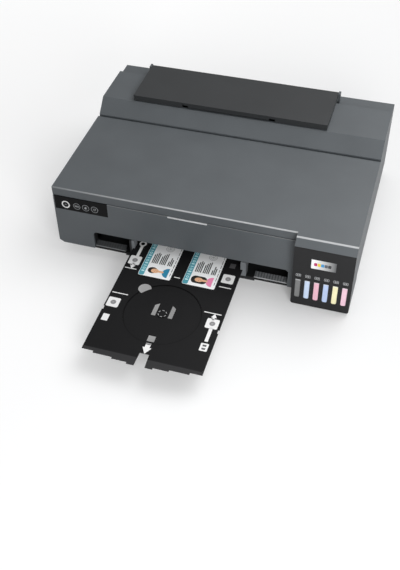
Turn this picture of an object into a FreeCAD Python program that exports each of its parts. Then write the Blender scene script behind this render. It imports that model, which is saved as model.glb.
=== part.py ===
"""Desktop photo printer that also prints discs and plastic cards on a flat carrier tray.

Lengths are millimetres. Every sub-part is drawn in bench coordinates: X runs right from the
printer's left side, Y runs back from the foot of the front panel and Z runs up from the table.
Each one is then moved by the same placement, so that the origin is the middle of the whole
outline, on the table. The sizes live in the spreadsheet, and formulas are written with their names.
"""
import FreeCAD, Part
import Sketcher
import math
import os
import re

# ---------------------------------------------------------------- driving sizes
SIZES = {
    # casing
    "width": 499, "depth": 358, "bay_width": 93.5, "wall": 2.5, "front_bottom": 21,
    "ridge_height": 136, "lid_height": 16.5, "bay_lid_height": 9.3, "lean": 6, "seam_gap": 0.5,
    "seam_step": 1, "fit_gap": 0.1, "corner_run": 8, "corner_rise": 4.5, "ridge_round": 1.6,
    "grip_left": 196.5, "grip_right": 262.5, "grip_drop": 3.2, "grip_depth": 1.8,
    # hood and shelf over the rear feeder
    "hood_gap": 0.6, "hood_slope": 23.4, "hood_step": 8, "shelf_depth": 35, "shelf_height": 150,
    "hopper_left": 62, "hopper_margin": 7.5, "feed_slot_setback": 5,
    # lid hinge
    "hinge_setback": 152, "hinge_radius": 8, "pin_radius": 3, "pin_gap": 0.05, "ear_left": 6,
    "ear_thick": 4, "lug_gap": 1, "lug_thick": 4, "ear_stem": 6.5, "ear_drop": 19.5,
    # base
    "foot_height": 2.8, "foot_radius": 8, "foot_inset": 26, "front_foot_back": 36,
    "rear_foot_front": 28, "base_setback": 22, "base_rim": 30, "base_lip": 16,
    # front slot
    "slot_left": 64.6, "slot_margin": 9.7, "slot_top": 56, "slot_corner": 4,
    "tunnel_depth": 16, "rib_thick": 1.2, "rib_depth": 4, "rib_first": 110, "rib_pitch": 40,
    # control strip
    "strip_left": 2, "strip_right": 94.5, "strip_height": 26, "power_left": 21.4, "key_drop": 14.9,
    "power_radius": 7.6, "key_left": 40.8, "key_pitch": 15.6, "key_radius": 6.2,
    "button_gap": 0.15, "button_proud": 0.3, "flange_rim": 1.2, "flange_thick": 1.5,
    # ink tank bay
    "tank_forward": 15.2, "tank_ridge": 2.6, "tank_back": 60, "bay_corner": 4,
    "window_margin": 9.55, "window_pitch": 14.72, "window_width": 8.2, "window_bottom": 18.6,
    "window_top": 58.6, "window_inset": 0.3, "label_margin": 27.4, "label_width": 38.5,
    "label_bottom": 87.5, "label_top": 107, "label_depth": 0.5, "tank_gap": 1,
    "tank_setback": 2.75, "tank_wall": 1.2, "tank_top": 92, "neck_back": 6, "neck_radius": 5.5,
    "neck_bore": 4, "neck_height": 5, "cap_radius": 6.2, "cap_thick": 3.4, "plug_radius": 3.7,
    "plug_depth": 2, "cap_arm": 12, "cap_arm_half": 3.8, "cap_pin_radius": 1,
    "cap_ear_gap": 4.6, "cap_ear_end": 6.4, "cap_ear_half": 2.2, "cap_tab": 2.4,
    # carrier tray
    "tray_reach": 229, "tray_tail": 66, "tray_middle": 227.9, "tray_half": 93.7,
    "tray_bottom": 36, "tray_thick": 2, "tooth_one": 75, "tooth_two": 44.4, "tooth_three": 20.3,
    "step_one": 9.4, "step_two": 5.8, "step_three": 2.9, "mouth_half": 8.6, "mouth_root": 7.5,
    "mouth_depth": 24.5, "lead_run": 14.6, "lead_drop": 0.9, "disc_back": -123.9,
    "disc_radius": 60.5, "disc_depth": 1.2, "disc_land": 57, "card_left": 161.95,
    "card_pitch": 74, "card_width": 54, "card_length": 85.6, "card_near": -53.9,
    "card_thick": 0.76, "card_corner": 3.2, "card_gap": 0.1, "finger_left": 183.5,
    "finger_back": -79.8, "finger_radius": 10.6, "sensor_hole_near": -180.3,
    "sensor_hole": 11.6, "hub_slot_in": 10.2, "hub_slot_out": 17.1, "hub_slot_reach": 23.4,
    "hub_slot_near": 5.4, "hub_radius": 7.4, "hub_height": 0.4, "hub_cut": 1.4,
    "hub_cut_depth": 2.6, "latch_near": -139, "latch_length": 8, "latch_depth": 2,
    # carrier guide
    "guide_block": 8.7, "guide_in": 3.1, "guide_bottom": 25.7, "guide_top": 54.8,
    "guide_depth": 13, "guide_arm_depth": 42, "guide_arm_top": 45, "guide_slack": 0.6,
    # output trays
    "stack_front": 1.5, "stack_length": 198, "stack_slack": 0.6, "stack_plate": 2,
    "stack_top": 24.4, "bar_depth": 6, "bar_top": 25.4, "lip_left": 53.5, "lip_right": 55,
    "lip_back": 13, "lip_top": 29.4, "groove_pitch": 2, "groove_first": 4.2,
    "groove_depth": 0.5, "ext_margin": 48.6, "ext_front": 2.5, "ext_length": 186,
    "ext_bottom": 18.2, "ext_top": 20.8, "ext_rib": 0.9, "runner": 3, "runner_drop": 1.4,
    # rollers and gears
    "feed_back": 128, "roller_height": 31, "feed_radius": 4.95, "eject_back": 52,
    "shaft_radius": 3, "ring_radius": 4.95, "ring_width": 10, "wheel_first": 115.5,
    "wheel_margin": 61, "wheel_count": 5, "module": 1.6, "feed_teeth": 26, "idler_teeth": 22,
    "pinion_teeth": 9, "gear_left": 14, "gear_width": 5, "pinion_angle": 45, "stub_radius": 2.5,
    # mechanism frame
    "frame_left": 22, "frame_margin": 15, "bracket_gap": 0.5, "sheet": 1.5, "flange": 8,
    "frame_front": 40, "frame_back": 190, "frame_top": 112, "rail_back": 142,
    "rail_bottom": 44, "rail_top": 104, "rail_lip_front": 128, "rail_lip_bottom": 97,
    "platen_front": 60, "platen_back": 120, "platen_bottom": 26, "platen_top": 35.8,
    "post_left": 10.6, "post_right": 4.2, "platen_rib": 1.4, "platen_rib_height": 2.2,
    "platen_pitch": 24, "star_radius": 4, "star_teeth": 8, "star_thick": 0.8,
    "star_height": 42.6, "star_bar_bottom": 47.4, "star_bar_top": 51, "pinch_radius": 2.5,
    "pinch_height": 41, "pinch_width": 16, "pinch_bar_top": 46.4, "pinch_first": 100,
    "pinch_margin": 23.8, "pinch_count": 5,
    # carriage
    "park_margin": 84, "carriage_width": 60, "carriage_front": 66, "carriage_back": 138,
    "carriage_bottom": 48, "carriage_top": 95, "carriage_wall": 2, "head_bottom": 40.2,
    "head_front": 80, "head_back": 112, "head_inset": 8, "hook_top": 102, "hook_gap": 0.3,
    "hook_depth": 6, "strip_back": 110, "strip_thick": 0.3, "strip_foot": 98, "strip_top": 108,
    "clamp_half": 10, "clamp_jaw": 2.6, "belt_back": 138.6, "belt_width": 3, "belt_thick": 1,
    "pulley_radius": 7, "pulley_left": 40, "pulley_margin": 16, "motor_radius": 15,
    "motor_gap": 2.85, "motor_length": 34, "motor_shaft": 1.5, "cap_margin": 2,
    "cap_front": 72, "cap_back": 120, "cap_top": 39.4, "rubber_rim": 2,
    # rear feeder
    "cheek_thick": 3, "cheek_front_gap": 3.4, "cheek_rear_gap": 5, "cheek_bottom": 58,
    "cheek_drop": 11, "cheek_crest": 30, "hopper_rear_gap": 21, "hopper_drop": 17, "hopper_setback": 10,
    "hopper_foot": 66, "hopper_thick": 2.4, "hopper_slack": 0.8, "pick_setback": 5,
    "pick_height": 82, "pick_radius": 11.5, "pick_margin": 72, "pick_width": 28,
    "ramp_front": 146, "ramp_front_height": 41.5, "ramp_thick": 1.6, "guide_left": 70,
    "guide_width": 14, "guide_height": 8, "guide_length": 62, "guide_low": 18,
    "support_front_gap": 1.5, "support_lift": 0.5, "support_thick": 3, "support_setback": 18,
    "support_rise": 13.5, "support_end": 5, "support_margin": 4, "support_skirt": 9.5,
    "leaf_margin": 92, "leaf_setback": 3.5, "leaf_length": 84, "leaf_thick": 2.4,
    "leaf_slot": 0.3,
    # flats of the small round pieces
    "pin_side_count": 8, "small_side_count": 10, "large_side_count": 24,
    # inner units and fasteners
    "supply_left": 22, "supply_width": 34, "supply_front": 205, "supply_rear_gap": 23,
    "supply_height": 46, "board_margin": 59, "board_thick": 1.6, "board_front": 200,
    "board_rear_gap": 28, "board_bottom": 12, "board_height": 80, "chip_front": 45,
    "chip_side": 30, "can_radius": 4, "pad_box_margin": 87, "pad_box_width": 24,
    "pad_box_front": 230, "pad_box_height": 60, "screw_radius": 1.5, "screw_head": 3,
    "screw_length": 14, "head_thick": 1.6, "boss_radius": 4.2, "boss_inset": 9.8,
    "boss_front_back": 172, "boss_rear_front": 16, "boss_height": 40, "hatch_left": 130,
    "hatch_margin": 129, "hatch_bottom": 60, "hatch_drop": 12, "pull_half": 16,
    "inlet_left": 40, "inlet_bottom": 26, "inlet_width": 22, "inlet_height": 16,
    "inlet_depth": 15, "usb_margin": 47, "usb_bottom": 40, "usb_width": 12, "usb_height": 11,
}

# places that follow from the sizes above
PLACES = {
    "body_width": "width - bay_width", "seam_height": "ridge_height - lid_height",
    "tank_panel_top": "ridge_height - bay_lid_height", "strip_bottom": "seam_height - strip_height",
    "key_height": "seam_height - key_drop", "ear_foot": "seam_height - ear_drop",
    "slot_right": "body_width - slot_margin", "lip_left_end": "slot_left + lip_left",
    "lip_right_start": "slot_right - lip_right", "ext_left": "slot_left + ext_margin",
    "ext_right": "slot_right - ext_margin", "window_first": "body_width + window_margin",
    "label_left": "body_width + label_margin", "label_right": "label_left + label_width",
    "platen_left": "slot_left - post_left", "platen_right": "slot_right + post_right",
    "bracket_left": "platen_right + bracket_gap", "frame_right": "width - frame_margin",
    "wheel_pitch": "(bracket_left - wheel_margin - wheel_first) / (wheel_count - 1)",
    "pinch_end": "slot_right - pinch_margin - pinch_width",
    "pinch_pitch": "(pinch_end - pinch_first) / (pinch_count - 1)",
    "carriage_left": "width - park_margin", "cap_left": "carriage_left - cap_margin",
    "cap_right": "carriage_left + carriage_width + cap_margin",
    "pulley_right": "frame_right - pulley_margin",
    "pinion_reach": "module * (feed_teeth + pinion_teeth) / 2",
    "pinion_back": "feed_back + pinion_reach * cos(pinion_angle)",
    "pinion_height": "roller_height + pinion_reach * sin(pinion_angle)",
    "pulley_height": "pinion_height + motor_radius * 2 + motor_gap",
    "hinge_back": "depth - hinge_setback", "hood_front": "hinge_back + hinge_radius + hood_gap",
    "hood_slope_end": "hood_front + hood_slope", "hood_height": "shelf_height + hood_step",
    "shelf_start": "depth - shelf_depth", "feed_slot_front": "hood_slope_end + feed_slot_setback",
    "hopper_right": "body_width - hopper_margin", "cheek_front": "hood_front + cheek_front_gap",
    "cheek_back": "shelf_start - cheek_rear_gap", "cheek_top": "hood_height - cheek_drop",
    "hopper_top_back": "shelf_start - hopper_rear_gap", "hopper_top": "hood_height - hopper_drop",
    "hopper_foot_back": "hood_slope_end + hopper_setback",
    "pick_back": "hood_slope_end - pick_setback", "pick_left": "hopper_right - pick_margin",
    "support_left": "hopper_left - support_margin",
    "support_right": "hopper_right + support_margin",
    "support_front": "hood_slope_end + support_front_gap",
    "support_pivot": "depth - support_setback",
    "support_pivot_height": "shelf_height + support_rise",
    "support_top": "support_pivot_height + support_end + support_lift",
    "leaf_left": "support_left + leaf_margin", "leaf_right": "support_right - leaf_margin",
    "leaf_front": "support_front + leaf_setback", "supply_back": "depth - supply_rear_gap",
    "board_left": "width - board_margin", "board_back": "depth - board_rear_gap",
    "pad_box_left": "width - pad_box_margin", "usb_left": "width - usb_margin",
    "hatch_right": "width - hatch_margin", "hatch_top": "shelf_height - hatch_drop",
}

doc = FreeCAD.newDocument("disc_label_printer")
sheet = doc.addObject("Spreadsheet::Sheet", "sizes")
for row, (alias, value) in enumerate(SIZES.items(), 1):
    sheet.set(f"A{row}", alias)
    sheet.set(f"B{row}", str(value))
    sheet.setAlias(f"B{row}", alias)
doc.recompute()

X = FreeCAD.Vector(1, 0, 0)
Y = FreeCAD.Vector(0, 1, 0)
Z = FreeCAD.Vector(0, 0, 1)
DIRECTION = {"x": X, "y": Y, "z": Z}
# each drawing plane: the axis it is normal to, and whether that normal points along the axis
PLANES = {"XY": ("z", 1), "XZ": ("y", -1), "YZ": ("x", 1)}
TURN = {"XY": FreeCAD.Rotation(), "XZ": FreeCAD.Rotation(X, 90),
        "YZ": FreeCAD.Rotation(FreeCAD.Vector(1, 1, 1), 120)}
ROD_TURN = {"x": FreeCAD.Rotation(Y, 90), "y": FreeCAD.Rotation(X, -90), "z": FreeCAD.Rotation()}
OVER = "1"           # how far a cutting tool runs past the face it cuts
# how many flats a small round piece has: a pin, a hidden one, and one that is in view
PIN, FEW, MORE = "pin_side_count", "small_side_count", "large_side_count"
nodes = []


# ---------------------------------------------------------------- drawing helpers
def size(alias):
    return float(sheet.get(alias))


def formula(text):
    """Write a formula's names of sizes and places the way the document's expressions want them."""
    def full(word):
        name = word.group()
        if name in PLACES:
            return "(" + formula(PLACES[name]) + ")"
        return "sizes." + name if name in SIZES else name
    return re.sub(r"\b[a-z_]+\b", full, text)


def face_y(height):
    """Y of the leaning front face at a height."""
    return f"(lean * (({height}) - front_bottom) / (ridge_height - front_bottom))"


def draw(sketch, loops):
    """Fill a sketch: a loop is a list of corners, or a circle as (x, y, radius)."""
    for loop in loops:
        first = sketch.GeometryCount
        if isinstance(loop, tuple):
            start = FreeCAD.Vector(first + 1, 0, 0)
            circle = sketch.addGeometry(Part.Circle(start, Z, 1.0))
            rules = [Sketcher.Constraint("DistanceX", -1, 1, circle, 3, start.x),
                     Sketcher.Constraint("DistanceY", -1, 1, circle, 3, 0.0),
                     Sketcher.Constraint("Radius", circle, 1.0)]
            for rule, text in zip(sketch.addConstraint(rules), loop):
                sketch.setExpression(f"Constraints[{rule}]", formula(text))
            continue
        count = len(loop)
        spots = [FreeCAD.Vector(math.cos(2 * math.pi * k / count),
                                math.sin(2 * math.pi * k / count), 0) for k in range(count)]
        sketch.addGeometry([Part.LineSegment(spots[k], spots[(k + 1) % count])
                            for k in range(count)])
        rules = [Sketcher.Constraint("Coincident", first + k, 2, first + (k + 1) % count, 1)
                 for k in range(count)]
        for k, spot in enumerate(spots):
            rules.append(Sketcher.Constraint("DistanceX", -1, 1, first + k, 1, spot.x))
            rules.append(Sketcher.Constraint("DistanceY", -1, 1, first + k, 1, spot.y))
        placed = sketch.addConstraint(rules)[count:]
        for k, (across, up) in enumerate(loop):
            sketch.setExpression(f"Constraints[{placed[2 * k]}]", formula(across))
            sketch.setExpression(f"Constraints[{placed[2 * k + 1]}]", formula(up))


def rectangle(left, bottom, right, top):
    return [(left, bottom), (right, bottom), (right, top), (left, top)]


def block(name, low, high):
    """A Part box between two corners."""
    piece = doc.addObject("Part::Box", name)
    for axis, side, start, end in zip("xyz", ("Length", "Width", "Height"), low, high):
        piece.setExpression(side, formula(f"({end}) - ({start})"))
        piece.setExpression(f"Placement.Base.{axis}", formula(start))
    return piece


def rod(name, axis, centre, radius, start, end, flats=None):
    """A Part cylinder along an axis, or a prism with so many flats. centre gives the other two
    coordinates, in X, Y, Z order."""
    piece = doc.addObject("Part::Prism" if flats else "Part::Cylinder", name)
    piece.Placement = FreeCAD.Placement(FreeCAD.Vector(), ROD_TURN[axis])
    if flats:
        piece.setExpression("Polygon", formula(flats))
    piece.setExpression("Circumradius" if flats else "Radius", formula(radius))
    piece.setExpression("Height", formula(f"({end}) - ({start})"))
    others = [other for other in "xyz" if other != axis]
    for other, text in zip(others, centre):
        piece.setExpression(f"Placement.Base.{other}", formula(text))
    piece.setExpression(f"Placement.Base.{axis}", formula(start))
    return piece


def bore(name, axis, centre, radius, start, end, flats=FEW):
    """A flat-sided bore that a round pin of the radius fits."""
    return rod(name, axis, centre, f"({radius}) / cos(180 / {flats})", start, end, flats)


def slab(name, plane, loops, start, end):
    """A straight-sided outline carried along the normal of its plane, from start to end."""
    axis = PLANES[plane][0]
    sketch = doc.addObject("Sketcher::SketchObject", name + "_outline")
    sketch.Placement = FreeCAD.Placement(FreeCAD.Vector(), TURN[plane])
    sketch.setExpression(f"Placement.Base.{axis}", formula(start))
    draw(sketch, loops)
    piece = doc.addObject("Part::Extrusion", name)
    piece.Base = sketch
    piece.DirMode = "Custom"
    piece.Dir = DIRECTION[axis]
    piece.setExpression("LengthFwd", formula(f"({end}) - ({start})"))
    piece.Solid = True
    piece.FaceMakerClass = "Part::FaceMakerBullseye"
    return piece


def join(name, pieces):
    piece = doc.addObject("Part::MultiFuse", name)
    piece.Shapes = pieces
    piece.Refine = True
    return piece


def cut(name, base, tools):
    piece = doc.addObject("Part::Cut", name)
    piece.Base = base
    piece.Tool = tools[0] if len(tools) == 1 else join(name + "_tools", tools)
    piece.Refine = True
    return piece


def common(name, base, tool):
    piece = doc.addObject("Part::Common", name)
    piece.Base, piece.Tool = base, tool
    return piece


def group(name, pieces):
    piece = doc.addObject("Part::Compound", name)
    piece.Links = pieces
    return piece


def straight_edges(shape, along, spots):
    """Numbers of the edges that run along a direction through one of the spots."""
    found = []
    for number, edge in enumerate(shape.Edges, 1):
        ends = [vertex.Point for vertex in edge.Vertexes]
        if len(ends) != 2 or (ends[1] - ends[0]).cross(along).Length > 0.001 * edge.Length:
            continue
        if any((ends[0] - spot).cross(along).Length < 0.01 for spot in spots):
            found.append(number)
    return found


def rounded(name, base, radius, along, spots):
    """A Part fillet on the edges that run along a direction through the spots."""
    doc.recompute()
    piece = doc.addObject("Part::Fillet", name)
    piece.Base = base
    piece.Edges = [(number, radius, radius)
                   for number in straight_edges(base.Shape, along, spots)]
    return piece


def new_body(name):
    return doc.addObject("PartDesign::Body", name + "_body")


def body_sketch(body, name, plane, loops, start):
    side = PLANES[plane][1]
    sketch = body.newObject("Sketcher::SketchObject", name + "_outline")
    origin_plane = next(part for part in body.Origin.OriginFeatures
                        if part.Role == plane + "_Plane")
    sketch.AttachmentSupport = [(origin_plane, "")]
    sketch.MapMode = "FlatFace"
    sketch.setExpression("AttachmentOffset.Base.z", formula(f"{side} * ({start})"))
    draw(sketch, loops)
    return sketch


def pad(body, name, plane, loops, start, end):
    sketch = body_sketch(body, name, plane, loops, start)
    feature = body.newObject("PartDesign::Pad", name)
    feature.Profile = sketch
    feature.Reversed = PLANES[plane][1] < 0
    feature.setExpression("Length", formula(f"({end}) - ({start})"))
    return feature


def pocket(body, name, plane, loops, start, end):
    sketch = body_sketch(body, name, plane, loops, start)
    feature = body.newObject("PartDesign::Pocket", name)
    feature.Profile = sketch
    feature.Reversed = PLANES[plane][1] > 0
    feature.setExpression("Length", formula(f"({end}) - ({start})"))
    return feature


def repeat(body, feature, axis, count, pitch):
    """Repeat one feature of a body along an axis, by formulas for the count and the pitch."""
    pattern = body.newObject("PartDesign::LinearPattern", feature.Name + "_row")
    pattern.Originals = [feature]
    line = next(part for part in body.Origin.OriginFeatures if part.Role == axis + "_Axis")
    pattern.Direction = (line, [""])
    pattern.setExpression("Occurrences", formula(count))
    pattern.setExpression("Length", formula(f"(({count}) - 1) * ({pitch})"))
    body.Tip = pattern
    return pattern


def node(name, piece):
    """Name a finished sub-part and move it from bench coordinates to the printer's frame."""
    piece.Label = name
    piece.setExpression("Placement.Base.x", formula("-width / 2"))
    piece.setExpression("Placement.Base.y", formula("(tray_reach - depth) / 2"))
    nodes.append(piece)
    return piece


# ---------------------------------------------------------------- casing
SEAM_Y = face_y("seam_height")
SKIRT_Z = "(seam_height + seam_gap)"
RIM_Z = "(tank_panel_top + seam_gap)"
HINGE_Z = "(ridge_height - hinge_radius)"
LID_FRONT = f"({SEAM_Y} + seam_step)"
LID_INNER = "(ridge_height - wall)"
INNER_RIGHT = "(width - wall)"
REAR_INNER = "(depth - wall)"
FLOOR = "(foot_height + wall)"


def make_front_panel():
    """Leaning front moulding: slot with a rounded tunnel, strip window, finger scoop, ribs."""
    body = new_body("front_panel")
    pad(body, "front_face", "YZ",
        [[("0", "front_bottom"), ("wall", "front_bottom"),
          (f"{SEAM_Y} + wall", "seam_height"), (SEAM_Y, "seam_height")]], "0", "body_width")
    pad(body, "tunnel", "XZ",
        [rectangle("slot_left - wall", "front_bottom", "slot_right + wall", "slot_top + wall")],
        "wall", "tunnel_depth")
    pad(body, "left_foot", "XY",
        [rectangle("corner_run", "wall / 2", "slot_left - wall / 2", "base_setback + wall")],
        "front_bottom", "front_bottom + wall")
    pad(body, "right_foot", "XY",
        [rectangle("slot_right + wall / 2", "wall / 2", "body_width", "base_setback + wall")],
        "front_bottom", "front_bottom + wall")
    pocket(body, "slot", "XZ",
           [[("slot_left", "front_bottom - " + OVER), ("slot_right", "front_bottom - " + OVER),
             ("slot_right", "slot_top - slot_corner"), ("slot_right - slot_corner", "slot_top"),
             ("slot_left + slot_corner", "slot_top"), ("slot_left", "slot_top - slot_corner")]],
           "-" + OVER, "base_setback + wall + " + OVER)
    pocket(body, "strip_window", "XZ",
           [rectangle("strip_left", "strip_bottom", "strip_right", "seam_height + " + OVER)],
           "-" + OVER, "lean + wall + " + OVER)
    pocket(body, "corner", "XZ",
           [[("0", "front_bottom + corner_rise"), ("corner_run", "front_bottom"),
             ("corner_run", "front_bottom - " + OVER), ("-" + OVER, "front_bottom - " + OVER),
             ("-" + OVER, "front_bottom + corner_rise")]], "-" + OVER, "wall + " + OVER)
    low_y = face_y("seam_height - grip_drop")
    pocket(body, "grip_scoop", "YZ",
           [[(low_y, "seam_height - grip_drop"), (f"{SEAM_Y} + grip_depth", "seam_height"),
             (f"{SEAM_Y} + grip_depth", "seam_height + " + OVER),
             (f"{low_y} - {OVER}", "seam_height + " + OVER),
             (f"{low_y} - {OVER}", "seam_height - grip_drop")]], "grip_left", "grip_right")
    rib_low, rib_high = "(slot_top + wall)", "(seam_height - grip_drop * 2)"
    rib = pad(body, "rib", "YZ",
              [[(f"{face_y(rib_low)} + wall / 2", rib_low),
                (f"{face_y(rib_low)} + wall + rib_depth", rib_low),
                (f"{face_y(rib_high)} + wall + rib_depth", rib_high),
                (f"{face_y(rib_high)} + wall / 2", rib_high)]],
              "rib_first", "rib_first + rib_thick")
    repeat(body, rib, "X", "floor((slot_right - rib_first) / rib_pitch)", "rib_pitch")
    return node("front_panel", body)


def lid_hinge(side, edge, inward):
    """Lug and pin at one end of the lid. inward is the sign that points into the printer."""
    ear_end = f"{edge} {inward} (ear_left + ear_thick)"
    spans = [(f"{ear_end} {inward} lug_gap", f"{ear_end} {inward} (lug_gap + lug_thick)"),
             (f"{edge} {inward} (ear_left - lug_gap)", f"{ear_end} {inward} (lug_gap * 2)")]
    if inward == "-":
        spans = [(end, start) for start, end in spans]
    lug = slab(f"lug_{side}", "YZ",
               [rectangle("hinge_back - pin_radius - wall / 2", f"{HINGE_Z} - pin_radius - wall / 2",
                          "hinge_back + pin_radius", "ridge_height - wall / 2")], *spans[0])
    pin = rod(f"lid_pin_{side}", "x", ("hinge_back", HINGE_Z), "pin_radius", *spans[1], FEW)
    return [lug, pin]


def make_printer_cover():
    """Full-width lid: skirts, the step forward over the ink bay, and a round rear edge that
    is concentric with its two hinge pins."""
    right_step = [("-tank_forward", RIM_Z), ("-tank_ridge", "ridge_height"),
                  ("hinge_back", "ridge_height"), ("hinge_back", SKIRT_Z),
                  ("tank_back", SKIRT_Z), ("tank_back", RIM_Z)]
    outer = [
        slab("lid_main", "YZ", [[(LID_FRONT, SKIRT_Z), ("lean", "ridge_height"),
                                 ("hinge_back", "ridge_height"), ("hinge_back", SKIRT_Z)]],
             "0", "body_width"),
        slab("lid_bay", "YZ", [right_step], "body_width", "width"),
        rod("lid_barrel", "x", ("hinge_back", HINGE_Z), "hinge_radius", "0", "width"),
        block("lid_rear", ("wall * 2", "hinge_back", f"{SKIRT_Z} + wall"),
              ("width - wall * 2", "hinge_back + hinge_radius", HINGE_Z)),
    ]
    band_in = "(wall * (tank_forward - tank_ridge) / (ridge_height - tank_panel_top))"
    inner = [
        slab("lid_room", "YZ", [rectangle(f"{LID_FRONT} + wall", f"{SKIRT_Z} - hinge_radius",
                                          "hinge_back", LID_INNER)], "wall", INNER_RIGHT),
        slab("bay_room", "YZ",
             [[(f"{band_in} - tank_forward", f"{RIM_Z} - " + OVER),
               (f"{band_in} - tank_forward", RIM_Z), (f"{band_in} / 2 - tank_ridge", LID_INNER),
               (f"{LID_FRONT} + wall * 2", LID_INNER),
               (f"{LID_FRONT} + wall * 2", f"{RIM_Z} - " + OVER)]],
             "body_width + wall", INNER_RIGHT),
        rod("barrel_room", "x", ("hinge_back", HINGE_Z), "hinge_radius - wall", "wall",
            INNER_RIGHT),
        block("rear_room", ("wall", f"hinge_back - {OVER}", f"{SKIRT_Z} - hinge_radius"),
              (INNER_RIGHT, "hinge_back + hinge_radius - wall", HINGE_Z)),
    ]
    for side, edge, inward in (("left", "0", "+"), ("right", "width", "-")):
        ends = [f"{edge} {inward} wall", f"{edge} {inward} (ear_left + ear_thick + lug_gap / 2)"]
        if inward == "-":
            ends.reverse()
        inner.append(block(f"ear_notch_{side}",
                           (ends[0], "hinge_back - lug_gap", f"{SKIRT_Z} - hinge_radius"),
                           (ends[1], "hinge_back + hinge_radius + " + OVER, HINGE_Z)))
    shell = cut("lid_shell", join("lid_outer", outer), inner)
    main_edge = FreeCAD.Vector(0, size("lean"), size("ridge_height"))
    bay_edge = FreeCAD.Vector(0, -size("tank_ridge"), size("ridge_height"))
    smooth = rounded("lid_smooth", shell, size("ridge_round"), X, [main_edge, bay_edge])
    lugs = lid_hinge("left", "0", "+") + lid_hinge("right", "width", "-")
    return node("printer_cover", join("printer_cover_whole", [smooth] + lugs))


def hinge_ear(side, edge, inward):
    """Ear on the side wall that holds one lid pin, and the bore to cut in it."""
    spans = [(f"{edge} {inward} ear_left", f"{edge} {inward} (ear_left + ear_thick)"),
             (f"{edge} {inward} wall / 2", f"{edge} {inward} (ear_left + ear_thick)")]
    if inward == "-":
        spans = [(end, start) for start, end in spans]
    head = rod(f"ear_head_{side}", "x", ("hinge_back", HINGE_Z),
               "hinge_radius - wall - lug_gap / 2", *spans[0], FEW)
    stem_back = "hinge_back - lug_gap / 2"
    stem = block(f"ear_stem_{side}", (spans[0][0], "hinge_back - ear_stem", "ear_foot"),
                 (spans[0][1], stem_back, HINGE_Z))
    foot = block(f"ear_foot_{side}", (spans[1][0], "hinge_back - ear_stem", "ear_foot"),
                 (spans[1][1], stem_back, "seam_height - wall"))
    hole = bore(f"ear_bore_{side}", "x", ("hinge_back", HINGE_Z), "pin_radius + pin_gap",
                f"{spans[0][0]} - {OVER}", f"{spans[0][1]} + {OVER}")
    return [head, stem, foot], hole


def make_support_ears():
    """Two hinge ears for the paper support, as part of the housing's rear shelf."""
    ears, bores = [], []
    for name, start, end in (("left", "support_left - rib_depth", "support_left - leaf_slot"),
                             ("right", "support_right + leaf_slot", "support_right + rib_depth")):
        ears.append(block(f"shelf_ear_{name}",
                          (start, "support_pivot - support_end", "shelf_height - wall / 2"),
                          (end, "support_pivot + support_end", "support_pivot_height + support_end")))
        bores.append(bore(f"shelf_bore_{name}", "x", ("support_pivot", "support_pivot_height"),
                          "stub_radius + pin_gap", f"{start} - {OVER}", f"{end} + {OVER}"))
    return ears, bores


def boss_places():
    """X and Y formulas of the four screw bosses of the casing."""
    left, right = "boss_inset", "width - boss_inset"
    front, rear = "boss_front_back", "depth - boss_rear_front"
    return [(left, front), (right, front), (left, rear), (right, rear)]


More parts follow.
